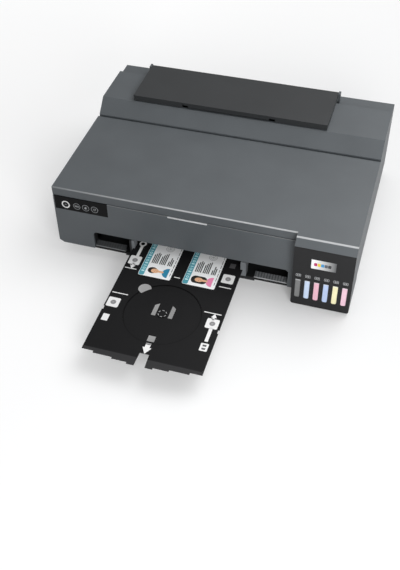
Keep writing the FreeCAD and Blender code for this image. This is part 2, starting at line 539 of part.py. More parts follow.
def make_main_housing():
    """Side and rear walls in one moulding, with the hood over the rear feeder."""
    start = f"{SEAM_Y} + wall"
    outer = slab("housing_outer", "YZ",
                 [[("wall", "front_bottom"), (start, "seam_height"),
                   ("hood_front", "seam_height"), ("hood_front", "ridge_height"),
                   ("hood_slope_end", "hood_height"), ("shelf_start", "hood_height"),
                   ("shelf_start", "shelf_height"), ("depth", "shelf_height"),
                   ("depth", "front_bottom")]], "0", "width")
    low = "front_bottom - wall"
    room = slab("housing_room", "YZ",
                [[("-wall", low), (REAR_INNER, low), (REAR_INNER, "shelf_height - wall"),
                  ("shelf_start - wall", "shelf_height - wall"),
                  ("shelf_start - wall", "hood_height - wall"),
                  ("hood_slope_end + wall / 2", "hood_height - wall"),
                  ("hood_front + wall", "ridge_height - wall / 2"),
                  ("hood_front + wall", "ear_foot"), (f"hood_front - {OVER}", "ear_foot"),
                  (f"hood_front - {OVER}", "hood_height"), ("-wall", "hood_height")]],
                "wall", INNER_RIGHT)
    bay = block("bay_opening", ("body_width", "-wall", low),
                (f"width + {OVER}", "tank_back", "hood_height"))
    slot = block("feed_slot", ("hopper_left", "feed_slot_front", "shelf_height - wall * 2"),
                 ("hopper_right", "shelf_start - wall * 2", f"hood_height + {OVER}"))
    corner = slab("housing_corner", "XZ",
                  [[("0", "front_bottom + corner_rise"), ("corner_run", "front_bottom"),
                    ("corner_run", low), (f"-{OVER}", low),
                    (f"-{OVER}", "front_bottom + corner_rise")]], "0", "base_setback")
    hatch = block("hatch_window", ("hatch_left", REAR_INNER + f" - {OVER}", "hatch_bottom"),
                  ("hatch_right", f"depth + {OVER}", "hatch_top"))
    sockets = [block("inlet_window", ("inlet_left", REAR_INNER + f" - {OVER}", "inlet_bottom"),
                     ("inlet_left + inlet_width", f"depth + {OVER}",
                      "inlet_bottom + inlet_height")),
               block("usb_window", ("usb_left", REAR_INNER + f" - {OVER}", "usb_bottom"),
                     ("usb_left + usb_width", f"depth + {OVER}", "usb_bottom + usb_height"))]
    shell = cut("housing_shell", outer, [room, bay, slot, corner, hatch] + sockets)
    shelf_ears, bores = make_support_ears()
    solids = [shell] + shelf_ears
    for side, edge, inward in (("left", "0", "+"), ("right", "width", "-")):
        ear, hole = hinge_ear(side, edge, inward)
        solids += ear
        bores.append(hole)
    for number, (across, back) in enumerate(boss_places()):
        top = "base_rim + boss_height"
        wall_x = "wall / 2" if number % 2 == 0 else "width - wall / 2"
        ends = (wall_x, across) if number % 2 == 0 else (across, wall_x)
        solids.append(rod(f"boss_{number}", "z", (across, back), "boss_radius",
                          "foot_height + wall", top, FEW))
        solids.append(block(f"boss_web_{number}",
                            (ends[0], f"({back}) - rib_thick / 2", "base_rim + wall"),
                            (ends[1], f"({back}) + rib_thick / 2", top)))
        bores.append(bore(f"boss_bore_{number}", "z", (across, back), "screw_radius",
                          "foot_height", "foot_height + wall + screw_length", PIN))
    return node("main_housing", cut("main_housing_whole", join("housing_solid", solids), bores))


def make_base_case():
    """Open lower case: floor, rim, posts under the platen, and runners for the output tray."""
    side = "(wall + fit_gap)"
    plan = [(side, "base_setback"), ("body_width - fit_gap", "base_setback"),
            ("body_width - fit_gap", "tank_back + fit_gap"),
            ("width - wall - fit_gap", "tank_back + fit_gap"),
            ("width - wall - fit_gap", "depth - wall - fit_gap"),
            (side, "depth - wall - fit_gap")]
    inner = [(f"{side} + wall", "base_setback + wall"),
             ("body_width - fit_gap - wall", "base_setback + wall"),
             ("body_width - fit_gap - wall", "tank_back + fit_gap + wall"),
             ("width - wall * 2 - fit_gap", "tank_back + fit_gap + wall"),
             ("width - wall * 2 - fit_gap", "depth - wall * 2 - fit_gap"),
             (f"{side} + wall", "depth - wall * 2 - fit_gap")]
    tub = slab("base_block", "XY", [plan], "foot_height", "base_rim")
    tools = [slab("base_room", "XY", [inner], "foot_height + wall", f"base_rim + {OVER}"),
             block("base_front_low", ("0", "0", "base_lip"),
                   ("slot_right + slot_margin", "base_setback + wall", f"base_rim + {OVER}")),
             block("base_corner", ("0", "0", "front_bottom"),
                   ("body_width", "base_setback + wall", f"base_rim + {OVER}")),
             block("base_bay_low", ("body_width - flange", "base_setback + wall / 2", "base_lip"),
                   ("body_width", "tank_back + flange", f"base_rim + {OVER}")),
             block("base_inlet", ("inlet_left", "depth - wall * 3", "inlet_bottom"),
                   ("inlet_left + inlet_width", "depth", f"base_rim + {OVER}"))]
    for number, (across, back) in enumerate(boss_places()):
        tools.append(bore(f"base_hole_{number}", "z", (across, back),
                          "screw_radius + fit_gap", "0", "foot_height + wall + " + OVER, PIN))
    shell = cut("base_shell", tub, tools)
    floor = "foot_height + wall / 2"
    solids = [shell]
    for side_name, low, high in (("left", "platen_left", "slot_left - fit_gap"),
                                 ("right", "slot_right + fit_gap", "platen_right")):
        for end, front in (("front", "platen_front"), ("rear", "platen_back - rib_depth * 2")):
            solids.append(block(f"post_{side_name}_{end}", (low, front, floor),
                                (high, f"({front}) + rib_depth * 2", "platen_bottom")))
    rest = "(stack_top - runner - fit_gap)"
    for side_name, low in (("left", "(slot_left + stack_slack)"),
                           ("right", "(slot_right - stack_slack - runner)")):
        solids.append(block(f"runner_{side_name}", (low, "base_setback + wall / 2", floor),
                            (f"{low} + runner", "stack_length + runner", rest)))
    return node("base_case", join("base_case_whole", solids))


def make_feet():
    """Four rubber feet under the base and the ink bay."""
    places = [("foot_inset", "front_foot_back"), ("width - foot_inset", "front_foot_back"),
              ("foot_inset", "depth - rear_foot_front"),
              ("width - foot_inset", "depth - rear_foot_front")]
    feet = [rod(f"foot_{number}", "z", spot, "foot_radius", "0", "foot_height", FEW)
            for number, spot in enumerate(places)]
    return node("rubber_feet", group("feet_set", feet))


def make_rear_cover():
    """Plain hatch in the rear wall, with a finger rib."""
    plate = block("hatch_plate", ("hatch_left + fit_gap", "depth - wall", "hatch_bottom + fit_gap"),
                  ("hatch_right - fit_gap", "depth", "hatch_top - fit_gap"))
    middle = "(hatch_left + hatch_right) / 2"
    pull = block("hatch_pull", (f"{middle} - pull_half", "depth - wall * 2", "hatch_top - flange"),
                 (f"{middle} + pull_half", "depth - wall / 2", "hatch_top - flange + wall"))
    recess = block("hatch_recess",
                   (f"{middle} - pull_half + wall", "depth - wall / 2", "hatch_top - flange * 2"),
                   (f"{middle} + pull_half - wall", f"depth + {OVER}", "hatch_top - flange"))
    return node("rear_cover", cut("hatch_whole", join("hatch_solid", [plate, pull]), [recess]))


# ---------------------------------------------------------------- control strip
def button_places():
    """Name, X formula and radius formula of each button of the strip."""
    keys = [(f"panel_button_{k + 1}", f"(key_left + {k} * key_pitch)", "key_radius")
            for k in range(3)]
    return [("power_button", "power_left", "power_radius")] + keys


def leaning_slab(name, left, right, low, high, out, back):
    """Slab between two planes that follow the leaning front face."""
    return slab(name, "YZ", [[(f"{face_y(low)} + {out}", low), (f"{face_y(low)} + {back}", low),
                              (f"{face_y(high)} + {back}", high),
                              (f"{face_y(high)} + {out}", high)]], left, right)


def make_control_panel():
    """Glossy inlay of the front panel, with a round hole for each button."""
    plate = leaning_slab("strip_plate", "strip_left + fit_gap", "strip_right - fit_gap",
                         "(strip_bottom + fit_gap)", "seam_height", "0", "wall")
    holes = [bore(f"{name}_hole", "y", (across, "key_height"), f"{radius} + button_gap",
                  f"-{OVER}", f"lean + wall + {OVER}", MORE)
             for name, across, radius in button_places()]
    return node("control_panel", cut("strip_whole", plate, holes))


def make_button(name, across, radius):
    """Round key: its face follows the strip, and a flange behind the strip keeps it in."""
    reach = f"({radius} + flange_rim)"
    stub = rod(f"{name}_stub", "y", (across, "key_height"), radius, "-wall",
               "lean + wall + flange_thick", MORE)
    face = leaning_slab(f"{name}_face", f"{across} - {reach}", f"{across} + {reach}",
                        f"(key_height - {reach})", f"(key_height + {reach})",
                        "(-button_proud)", "(wall + flange_thick)")
    flange_y = f"({face_y(f'key_height + {reach}')} + wall)"
    flange = rod(f"{name}_flange", "y", (across, "key_height"), reach, flange_y,
                 f"{flange_y} + flange_thick", FEW)
    return node(name, join(f"{name}_whole", [common(f"{name}_key", stub, face), flange]))


# ---------------------------------------------------------------- ink bay
def make_tank_housing():
    """Casing of the ink bay: floor, two sides and a back, open in front and on top."""
    outer = block("bay_block", ("body_width", "wall - tank_forward", "foot_height"),
                  ("width", "tank_back", "tank_panel_top"))
    low_left = FreeCAD.Vector(size("width") - size("bay_width"), 0, size("foot_height"))
    low_right = FreeCAD.Vector(size("width"), 0, size("foot_height"))
    smooth = rounded("bay_smooth", outer, size("bay_corner"), Y, [low_left, low_right])
    room = block("bay_inside", ("body_width + wall", f"wall - tank_forward - {OVER}",
                                "foot_height + wall"),
                 (INNER_RIGHT, "tank_back - wall", f"tank_panel_top + {OVER}"))
    return node("tank_housing", cut("bay_whole", smooth, [room]))


def tank_x(number):
    return f"(window_first + {number} * window_pitch)"


def make_tank_front_panel():
    """Glossy front of the ink bay: six level windows and a shallow label recess."""
    front = "(-tank_forward)"
    plate = block("bay_plate", ("body_width", front, "foot_height"),
                  ("width", "wall - tank_forward", "tank_panel_top"))
    low_left = FreeCAD.Vector(size("width") - size("bay_width"), 0, size("foot_height"))
    low_right = FreeCAD.Vector(size("width"), 0, size("foot_height"))
    smooth = rounded("bay_plate_smooth", plate, size("bay_corner"), Y, [low_left, low_right])
    tools = [block("label_recess", ("label_left", f"{front} - {OVER}", "label_bottom"),
                   ("label_right", f"{front} + label_depth", "label_top"))]
    for number in range(6):
        middle = tank_x(number)
        tools.append(block(f"level_window_{number + 1}",
                           (f"{middle} - window_width / 2", f"{front} - {OVER}", "window_bottom"),
                           (f"{middle} + window_width / 2", f"{front} + wall + {OVER}",
                            "window_top")))
    return node("tank_front_panel", cut("bay_front_whole", smooth, tools))


def make_ink_tank(number):
    """Hollow tank: a level window in front, a filler neck and two cap ears on top."""
    name = f"ink_tank_{number + 1}"
    middle = tank_x(number)
    half = "(window_pitch - tank_gap) / 2"
    front = "(tank_setback - tank_forward)"
    back = "(tank_back - wall - tank_gap / 2)"
    floor = "(foot_height + wall + fit_gap)"
    pivot = ("(neck_back + cap_arm)", "(tank_top + neck_height + cap_ear_half)")
    solids = [
        block(f"{name}_box", (f"{middle} - {half}", front, floor),
              (f"{middle} + {half}", back, "tank_top")),
        block(f"{name}_lens", (f"{middle} - window_width / 2 + fit_gap",
                               "window_inset - tank_forward", "window_bottom + fit_gap"),
              (f"{middle} + window_width / 2 - fit_gap", f"{front} + tank_wall / 2",
               "window_top - fit_gap")),
        rod(f"{name}_neck", "z", (middle, "neck_back"), "neck_radius", "tank_top - tank_wall / 2",
            "tank_top + neck_height", FEW),
    ]
    for side, start, end in (("a", "- cap_ear_end", "- cap_ear_gap"),
                             ("b", "+ cap_ear_gap", "+ cap_ear_end")):
        solids.append(block(f"{name}_ear_{side}",
                            (f"{middle} {start}", f"{pivot[0]} - cap_ear_half",
                             "tank_top - tank_wall / 2"),
                            (f"{middle} {end}", f"{pivot[0]} + cap_ear_half",
                             f"{pivot[1]} + cap_ear_half")))
    tools = [
        block(f"{name}_room", (f"{middle} - {half} + tank_wall", f"{front} + tank_wall",
                               f"{floor} + tank_wall"),
              (f"{middle} + {half} - tank_wall", f"{back} - tank_wall", "tank_top - tank_wall")),
        rod(f"{name}_bore", "z", (middle, "neck_back"), "neck_bore", "tank_top - tank_wall * 2",
            f"tank_top + neck_height + {OVER}", FEW),
        bore(f"{name}_pin_bore", "x", pivot, "cap_pin_radius + pin_gap",
             f"{middle} - cap_ear_end - {OVER}", f"{middle} + cap_ear_end + {OVER}", PIN),
    ]
    return node(name, cut(f"{name}_whole", join(f"{name}_solid", solids), tools))


def make_ink_cap(number):
    """Hinged cap: disc with a plug below it, an arm, a barrel and its pin."""
    name = f"ink_cap_{number + 1}"
    middle = tank_x(number)
    rim = "(tank_top + neck_height + fit_gap)"
    pivot = ("(neck_back + cap_arm)", "(tank_top + neck_height + cap_ear_half)")
    solids = [
        rod(f"{name}_disc", "z", (middle, "neck_back"), "cap_radius", rim, f"{rim} + cap_thick",
            FEW),
        rod(f"{name}_plug", "z", (middle, "neck_back"), "plug_radius", f"{rim} - plug_depth",
            f"{rim} + cap_thick / 2", PIN),
        block(f"{name}_arm", (f"{middle} - cap_arm_half", "neck_back", rim),
              (f"{middle} + cap_arm_half", pivot[0], f"{pivot[1]} + cap_ear_half - fit_gap")),
        rod(f"{name}_barrel", "x", pivot, "cap_ear_half - fit_gap",
            f"{middle} - cap_arm_half", f"{middle} + cap_arm_half"),
        rod(f"{name}_pin", "x", pivot, "cap_pin_radius", f"{middle} - cap_ear_end",
            f"{middle} + cap_ear_end", PIN),
        block(f"{name}_tab", (f"{middle} - cap_tab", "neck_back - cap_radius - cap_tab",
                              f"{rim} + cap_thick / 2"),
              (f"{middle} + cap_tab", "neck_back", f"{rim} + cap_thick")),
    ]
    return node(name, join(f"{name}_whole", solids))


# ---------------------------------------------------------------- carrier tray
TRAY_TOP = "(tray_bottom + tray_thick)"
HUB_X = "tray_middle"


def make_disc_tray():
    """Thin carrier: stepped lead-in teeth and a pull notch, disc and card recesses, hub
    fingers, finger hole, sensor hole and two latch notches."""
    near = "(-tray_reach)"
    left, right = "(tray_middle - tray_half)", "(tray_middle + tray_half)"
    steps = [("tooth_one", "step_one"), ("tooth_two", "step_two"), ("tooth_three", "step_three")]
    outline = [(left, "tray_tail")]
    level = f"{near} + step_one"
    outline.append((left, level))
    for number, (reach, _) in enumerate(steps):
        outline.append((f"tray_middle - {reach}", level))
        level = f"{near} + {steps[number + 1][1]}" if number < 2 else near
        outline.append((f"tray_middle - {reach}", level))
    outline += [("tray_middle - mouth_half", near),
                ("tray_middle - mouth_root", f"{near} + mouth_depth"),
                ("tray_middle + mouth_root", f"{near} + mouth_depth"),
                ("tray_middle + mouth_half", near)]
    for number, (reach, _) in reversed(list(enumerate(steps))):
        outline.append((f"tray_middle + {reach}", level))
        level = f"{near} + {steps[number][1]}"
        outline.append((f"tray_middle + {reach}", level))
    outline += [(right, f"{near} + step_one"), (right, "tray_tail")]
    plate = slab("tray_plate", "XY", [outline], "tray_bottom", TRAY_TOP)
    hub = rod("tray_hub", "z", (HUB_X, "disc_back"), "hub_radius",
              f"{TRAY_TOP} - disc_depth - hub_height / 2", f"{TRAY_TOP} + hub_height")
    low, high = f"tray_bottom - {OVER}", f"{TRAY_TOP} + hub_height + {OVER}"
    lead_in = slab("tray_lead_in", "YZ",
                   [[(f"{near} + lead_run", TRAY_TOP), (f"{near} - {OVER}", f"{TRAY_TOP} - lead_drop"),
                     (f"{near} - {OVER}", high)]], f"{left} - {OVER}", f"{right} + {OVER}")
    disc = rod("disc_recess", "z", (HUB_X, "disc_back"), "disc_radius",
               f"{TRAY_TOP} - disc_depth", high)
    finger = cut("finger_hole", rod("finger_round", "z", ("finger_left", "finger_back"),
                                    "finger_radius", low, high),
                 [rod("disc_land_round", "z", (HUB_X, "disc_back"), "disc_land",
                      f"{low} - {OVER}", f"{high} + {OVER}")])
    sensor = block("sensor_window", (f"{HUB_X} - sensor_hole / 2", "sensor_hole_near", low),
                   (f"{HUB_X} + sensor_hole / 2", "sensor_hole_near + sensor_hole", high))
    tools = [lead_in, finger, sensor]
    for number in range(2):
        card_x = f"(card_left + {number} * card_pitch)"
        tools.append(block(f"card_recess_{number}",
                           (f"{card_x} - card_gap", "card_near - card_gap",
                            f"{TRAY_TOP} - card_thick"),
                           (f"{card_x} + card_width + card_gap",
                            "card_near + card_length + card_gap", high)))
    for name, sign in (("left", "-"), ("right", "+")):
        ends = [f"{HUB_X} {sign} hub_slot_in", f"{HUB_X} {sign} hub_slot_out"]
        if sign == "-":
            ends.reverse()
        slot = block(f"hub_slot_box_{name}", (ends[0], "disc_back - hub_slot_near", low),
                     (ends[1], "disc_back + hub_slot_reach", high))
        ring = rod(f"hub_slot_ring_{name}", "z", (HUB_X, "disc_back"), "hub_slot_reach", low, high)
        tools.append(common(f"hub_slot_{name}", slot, ring))
        edge = f"tray_middle {sign} (tray_half - latch_depth)"
        out = f"tray_middle {sign} (tray_half + {OVER})"
        notch = [out, edge] if sign == "-" else [edge, out]
        tools.append(block(f"latch_notch_{name}", (notch[0], "latch_near", low),
                           (notch[1], "latch_near + latch_length", high)))
        cuts = [f"{HUB_X} {sign} (hub_radius - hub_cut_depth)", f"{HUB_X} {sign} (hub_radius + {OVER})"]
        if sign == "-":
            cuts.reverse()
        tools.append(block(f"hub_cut_{name}",
                           (cuts[0], "disc_back - hub_cut / 2", f"{TRAY_TOP} - disc_depth"),
                           (cuts[1], "disc_back + hub_cut / 2", high)))
    solid = join("tray_solid", [cut("tray_dished", plate, [disc]), hub])
    return node("disc_tray", cut("disc_tray_whole", solid, tools))


def make_cards():
    """Two standard plastic cards that lie in the tray's recesses."""
    cards = []
    for number in range(2):
        left = f"(card_left + {number} * card_pitch)"
        blank = block(f"card_{number}", (left, "card_near", f"{TRAY_TOP} - card_thick"),
                      (f"{left} + card_width", "card_near + card_length", TRAY_TOP))
        start_x = size("card_left") + number * size("card_pitch")
        corners = [FreeCAD.Vector(start_x + across, size("card_near") + back, 0)
                   for across in (0, size("card_width")) for back in (0, size("card_length"))]
        cards.append(rounded(f"card_{number}_smooth", blank, size("card_corner"), Z, corners))
    return node("id_cards", group("card_pair", cards))


def make_tray_guide():
    """Channel that the carrier slides through: a bridge below it, and at each side a grooved
    block in front and an arm behind."""
    solids = [block("guide_bridge", (f"tray_middle - tray_half - guide_block + guide_in", "0",
                                     "tray_bottom - guide_slack - runner"),
                    (f"tray_middle + tray_half + guide_block - guide_in", "guide_depth",
                     "tray_bottom - guide_slack / 2"))]
    tools = []
    for name, sign in (("left", "-"), ("right", "+")):
        spans = {"block": [f"tray_middle {sign} (tray_half - guide_in)",
                           f"tray_middle {sign} (tray_half - guide_in + guide_block)"],
                 "arm": [f"tray_middle {sign} (tray_half + guide_slack)",
                         f"tray_middle {sign} (tray_half - guide_in + guide_block)"],
                 "groove": [f"tray_middle {sign} (tray_half - guide_block)",
                            f"tray_middle {sign} (tray_half + guide_slack)"]}
        if sign == "-":
            spans = {key: span[::-1] for key, span in spans.items()}
        solids.append(block(f"guide_block_{name}", (spans["block"][0], "0", "guide_bottom"),
                            (spans["block"][1], "guide_depth", "guide_top")))
        solids.append(block(f"guide_arm_{name}",
                            (spans["arm"][0], "guide_depth / 2", "tray_bottom + tray_thick"),
                            (spans["arm"][1], "guide_arm_depth", "guide_arm_top")))
        tools.append(block(f"guide_groove_{name}",
                           (spans["groove"][0], f"-{OVER}", "tray_bottom - guide_slack / 2"),
                           (spans["groove"][1], f"guide_arm_depth + {OVER}",
                            f"{TRAY_TOP} + guide_slack")))
    return node("tray_guide", cut("guide_whole", join("guide_solid", solids), tools))


# ---------------------------------------------------------------- output trays
def make_output_tray():
    """First output stage: plate, front bar that closes the slot, grooved lips in both
    corners of the slot, side runners and two rails for the second stage."""
    left, right = "(slot_left + stack_slack)", "(slot_right - stack_slack)"
    back = "(stack_front + stack_length)"
    plate_low = "(stack_top - stack_plate)"
    solids = [block("stack_plate_whole", (left, "stack_front + bar_depth / 2", plate_low),
                    (right, back, "stack_top")),
              block("stack_bar", (left, "stack_front", "front_bottom"),
                    (right, "stack_front + bar_depth", "bar_top"))]
    for name, start, end in (("left", left, "lip_left_end"), ("right", "lip_right_start", right)):
        solids.append(slab(f"stack_lip_{name}", "YZ",
                           [[("stack_front", plate_low), ("lip_back", plate_low),
                             ("lip_back", "lip_top"), ("lip_back - rib_thick", "lip_top"),
                             ("stack_front", "bar_top")]], start, end))
    for name, start in (("left", left), ("right", f"{right} - runner")):
        solids.append(block(f"stack_runner_{name}",
                            (start, "base_setback + wall", "stack_top - runner"),
                            (f"{start} + runner", back, "stack_top")))
    tools = []
    for name, edge, sign in (("left", "ext_left", "-"), ("right", "ext_right", "+")):
        outer, inner = f"{edge} {sign} runner", f"{edge} {sign} (-runner)"
        groove = f"{edge} {sign} fit_gap"
        rail = [outer, inner] if sign == "-" else [inner, outer]
        room = [groove, f"{edge} + corner_run"] if sign == "-" else [f"{edge} - corner_run", groove]
        solids.append(block(f"stack_rail_{name}",
                            (rail[0], "base_setback + wall", "ext_bottom - fit_gap - runner_drop"),
                            (rail[1], back, "stack_top - stack_plate / 2")))
        tools.append(block(f"stack_groove_{name}", (room[0], "base_setback", "ext_bottom - fit_gap"),
                           (room[1], f"{back} + {OVER}", plate_low)))
    step = "groove_pitch"
    for number in range(4):
        start = f"(groove_first + {number} * {step})"
        slope = "(lip_top - bar_top) / (lip_back - rib_thick - stack_front)"
        level = f"(bar_top + ({start} - stack_front) * {slope})"
        tools.append(slab(f"lip_groove_{number}", "YZ",
                          [[(start, f"{level} - groove_depth"), (f"{start} + groove_pitch / 2",
                                                                 f"{level} - groove_depth"),
                            (f"{start} + groove_pitch / 2", f"{level} + groove_depth * 2"),
                            (start, f"{level} + groove_depth * 2")]],
                          f"{left} - {OVER}", f"{right} + {OVER}"))
    return node("output_tray", cut("stack_whole", join("stack_solid", solids), tools))


def make_output_extension():
    """Second output stage: a ribbed plate with a pull lip, under the first."""
    back = "(ext_front + ext_length)"
    plate = block("ext_plate", ("ext_left", "ext_front + runner", "ext_bottom"),
                  ("ext_right", back, "ext_top"))
    lip = block("ext_lip", ("ext_left + runner * 2", "ext_front", "ext_bottom - runner_drop"),
                ("ext_right - runner * 2", "ext_front + runner * 2", "ext_top"))
    solids = [plate, lip]
    for number in range(4):
        start = f"(ext_left + (ext_right - ext_left) * {number + 1} / 5)"
        solids.append(block(f"ext_rib_{number}", (start, "ext_front + runner", "ext_bottom - ext_rib"),
                            (f"{start} + rib_thick", back, "ext_bottom + fit_gap")))
    return node("output_tray_extension", join("ext_whole", solids))


# ---------------------------------------------------------------- rollers and gears
def toothed_disc(name, corners, length):
    """Flat disc with a toothed rim: a ring of corners given as reach and angle in degrees."""
    points = [FreeCAD.Vector(0, reach * math.cos(math.radians(angle)),
                             reach * math.sin(math.radians(angle))) for reach, angle in corners]
    disc = doc.addObject("Part::Feature", name)
    disc.Shape = Part.Face(Part.makePolygon(points + points[:1])).extrude(X * length)
    return disc


def gear_outline(teeth):
    """Corners of a spur gear with a little play: root, tip, tip and root of each tooth."""
    pitch_radius = size("module") * teeth / 2
    root, tip = pitch_radius - size("module") * 1.1, pitch_radius + size("module") * 0.7
    profile = [(root, -0.29), (tip, -0.15), (tip, 0.15), (root, 0.29)]
    return [(reach, 360 * (tooth + share) / teeth)
            for tooth in range(int(teeth)) for reach, share in profile]


def mesh_turn(turn, teeth, other_teeth, bearing):
    """Turn of a gear so that it meshes with its neighbour. bearing runs from the neighbour,
    turned by turn, to the gear. All in degrees."""
    phase = teeth * (bearing - turn) / 360
    return bearing + 180 - 360 * (0.5 - phase) / other_teeth


def gear(name, teeth, back, height, turn, pin):
    """Spur gear on an axis along X, turned so that it meshes at rest. pin is the radius that
    its bore fits, or nothing where the gear is solid."""
    wheel = toothed_disc(f"{name}_blank", gear_outline(size(teeth)), size("gear_width"))
    if pin:
        wheel = cut(f"{name}_wheel", wheel,
                    [bore(f"{name}_bore", "x", ("0", "0"), pin, f"-{OVER}",
                          f"gear_width + {OVER}")])
    wheel.Placement = FreeCAD.Placement(FreeCAD.Vector(), FreeCAD.Rotation(X, turn))
    wheel.setExpression("Placement.Base.x", formula("gear_left"))
    wheel.setExpression("Placement.Base.y", formula(back))
    wheel.setExpression("Placement.Base.z", formula(height))
    return wheel


def idler_place():
    """Y and Z of the idler's axis, half way between the two rollers and above them."""
    reach = "(module * (feed_teeth + idler_teeth) / 2)"
    half = "((feed_back - eject_back) / 2)"
    return f"(eject_back + {half})", f"(roller_height + sqrt({reach} ^ 2 - {half} ^ 2))"


def gear_turns():
    """Rest turns of the four gears, in degrees."""
    reach = size("module") * (size("feed_teeth") + size("idler_teeth")) / 2
    half = (size("feed_back") - size("eject_back")) / 2
    rise = math.degrees(math.acos(half / reach))
    feed = 0.0
    idler = mesh_turn(feed, size("feed_teeth"), size("idler_teeth"), 180 - rise)
    eject = mesh_turn(idler, size("idler_teeth"), size("feed_teeth"), 180 + rise)
    pinion = mesh_turn(feed, size("feed_teeth"), size("pinion_teeth"), size("pinion_angle"))
    return feed, idler, eject, pinion


SHAFT_START = "(gear_left - wall)"
SHAFT_END = "(frame_right + runner)"


def make_feed_roller():
    """Long feed roller with stepped journals."""
    solids = [rod("feed_barrel", "x", ("feed_back", "roller_height"), "feed_radius",
                  "frame_left + sheet + fit_gap", "frame_right - sheet - fit_gap"),
              rod("feed_shaft", "x", ("feed_back", "roller_height"), "shaft_radius",
                  SHAFT_START, SHAFT_END, FEW)]
    return node("feed_roller", join("feed_roller_whole", solids))


def make_eject_roller():
    """Thin shaft, round where its gear and its left journal are, with one rubber ring below
    each star wheel."""
    centre, journal_end = ("eject_back", "roller_height"), "frame_left + sheet * 2"
    solids = [rod("eject_shaft", "x", centre, "shaft_radius", journal_end,
                  "bracket_left + sheet * 2", FEW),
              rod("eject_journal", "x", centre, "shaft_radius", SHAFT_START, journal_end)]
    for number in range(int(size("wheel_count"))):
        middle = f"(wheel_first + {number} * wheel_pitch)"
        solids.append(rod(f"eject_ring_{number}", "x", centre, "ring_radius",
                          f"{middle} - ring_width / 2", f"{middle} + ring_width / 2", FEW))
    return node("eject_roller", join("eject_roller_whole", solids))


def make_gears():
    """Two roller gears, the idler between them and the motor's pinion with its shaft."""
    feed, idler, eject, pinion = gear_turns()
    wheels = {
        "feed_gear": ("feed_teeth", "feed_back", "roller_height", feed, "shaft_radius"),
        "eject_gear": ("feed_teeth", "eject_back", "roller_height", eject, "shaft_radius"),
        "idler_gear": ("idler_teeth", *idler_place(), idler, "stub_radius + pin_gap"),
        "motor_pinion": ("pinion_teeth", "pinion_back", "pinion_height", pinion, None),
    }
    for name, (teeth, back, height, turn, pin) in wheels.items():
        pieces = [gear(name + "_wheel", teeth, back, height, turn, pin)]
        if pin is None:
            pieces.append(rod(f"{name}_shaft", "x", (back, height), "motor_shaft", "gear_left",
                              "frame_left + sheet + flange - lug_gap / 2"))
        node(name, join(name + "_whole", pieces) if len(pieces) > 1 else group(name + "_set", pieces))


# ---------------------------------------------------------------- mechanism frame
BAY_CLEAR = "(tank_back + rib_depth)"
MOTOR_TOP = "(pinion_height + motor_radius + wall)"


def make_main_frame():
    """Sheet-metal frame: two side plates with bearing holes, a bracket that steps round the
    ink bay to the short end of the eject roller, a rear plate whose folded top is the carriage
    rail, floor feet, and the stub that the idler gear turns on."""
    solids, tools = [], []
    plates = (("left", "frame_left", "frame_front", ("feed_back", "eject_back")),
              ("right", "(frame_right - sheet)", BAY_CLEAR, ("feed_back",)))
    for name, start, front, shafts in plates:
        end = f"{start} + sheet"
        solids.append(block(f"cheek_{name}", (start, front, FLOOR), (end, "frame_back", "frame_top")))
        for shaft in shafts:
            tools.append(bore(f"bearing_{name}_{shaft}", "x", (shaft, "roller_height"),
                              "shaft_radius + pin_gap", f"{start} - {OVER}", f"{end} + {OVER}"))
        tools.append(block(f"cheek_window_{name}",
                           (f"{start} - {OVER}", "rail_back + motor_radius + wall", MOTOR_TOP),
                           (f"{end} + {OVER}", "frame_back - flange", "frame_top - flange")))
    for name, start, end in (("left", "frame_left", "frame_left + flange * 2"),
                             ("right", "frame_right - flange * 2", "frame_right")):
        solids.append(block(f"frame_foot_{name}", (start, "rail_back + wall", FLOOR),
                            (end, "frame_back", f"{FLOOR} + sheet")))
    bracket_top = "(star_bar_top + wall)"
    bracket_foot = "(roller_height - flange)"
    solids.append(block("bracket_cheek", ("bracket_left", "frame_front + rib_depth", bracket_foot),
                        ("bracket_left + sheet", f"{BAY_CLEAR} + sheet", bracket_top)))
    solids.append(block("bracket_step", ("bracket_left", BAY_CLEAR, bracket_foot),
                        ("frame_right", f"{BAY_CLEAR} + sheet", "carriage_bottom - wall")))
    tools.append(bore("bearing_bracket", "x", ("eject_back", "roller_height"),
                      "shaft_radius + pin_gap", f"bracket_left - {OVER}",
                      f"bracket_left + sheet + {OVER}"))
    solids.append(block("rail_plate", ("frame_left", "rail_back", "rail_bottom"),
                        ("frame_right", "rail_back + sheet", "rail_top")))
    solids.append(block("rail_roof", ("frame_left", "rail_lip_front", "rail_top - sheet"),
                        ("frame_right", "rail_back + sheet", "rail_top")))
    solids.append(block("rail_lip", ("frame_left", "rail_lip_front", "rail_lip_bottom"),
                        ("frame_right", "rail_lip_front + sheet", "rail_top")))
    back, height = idler_place()
    solids.append(rod("idler_stub", "x", (back, height), "stub_radius", "gear_left - sheet",
                      "frame_left + sheet / 2"))
    tools.append(block("feed_motor_notch", ("frame_left - " + OVER, f"rail_back - {OVER}",
                                            "rail_bottom - " + OVER),
                       ("frame_left + sheet + motor_length + flange",
                        f"rail_back + sheet + {OVER}", MOTOR_TOP)))
    tools.append(bore("pinion_hole", "x", ("pinion_back", "pinion_height"),
                      "motor_shaft + fit_gap", f"frame_left - {OVER}",
                      f"frame_left + sheet + {OVER}"))
    for name in ("pulley_left", "pulley_right"):
        tools.append(bore(f"{name}_hole", "y", (name, "pulley_height"), "motor_shaft + pin_gap",
                          f"rail_back - {OVER}", f"rail_back + sheet + {OVER}"))
    return node("main_frame", cut("frame_whole", join("frame_solid", solids), tools))


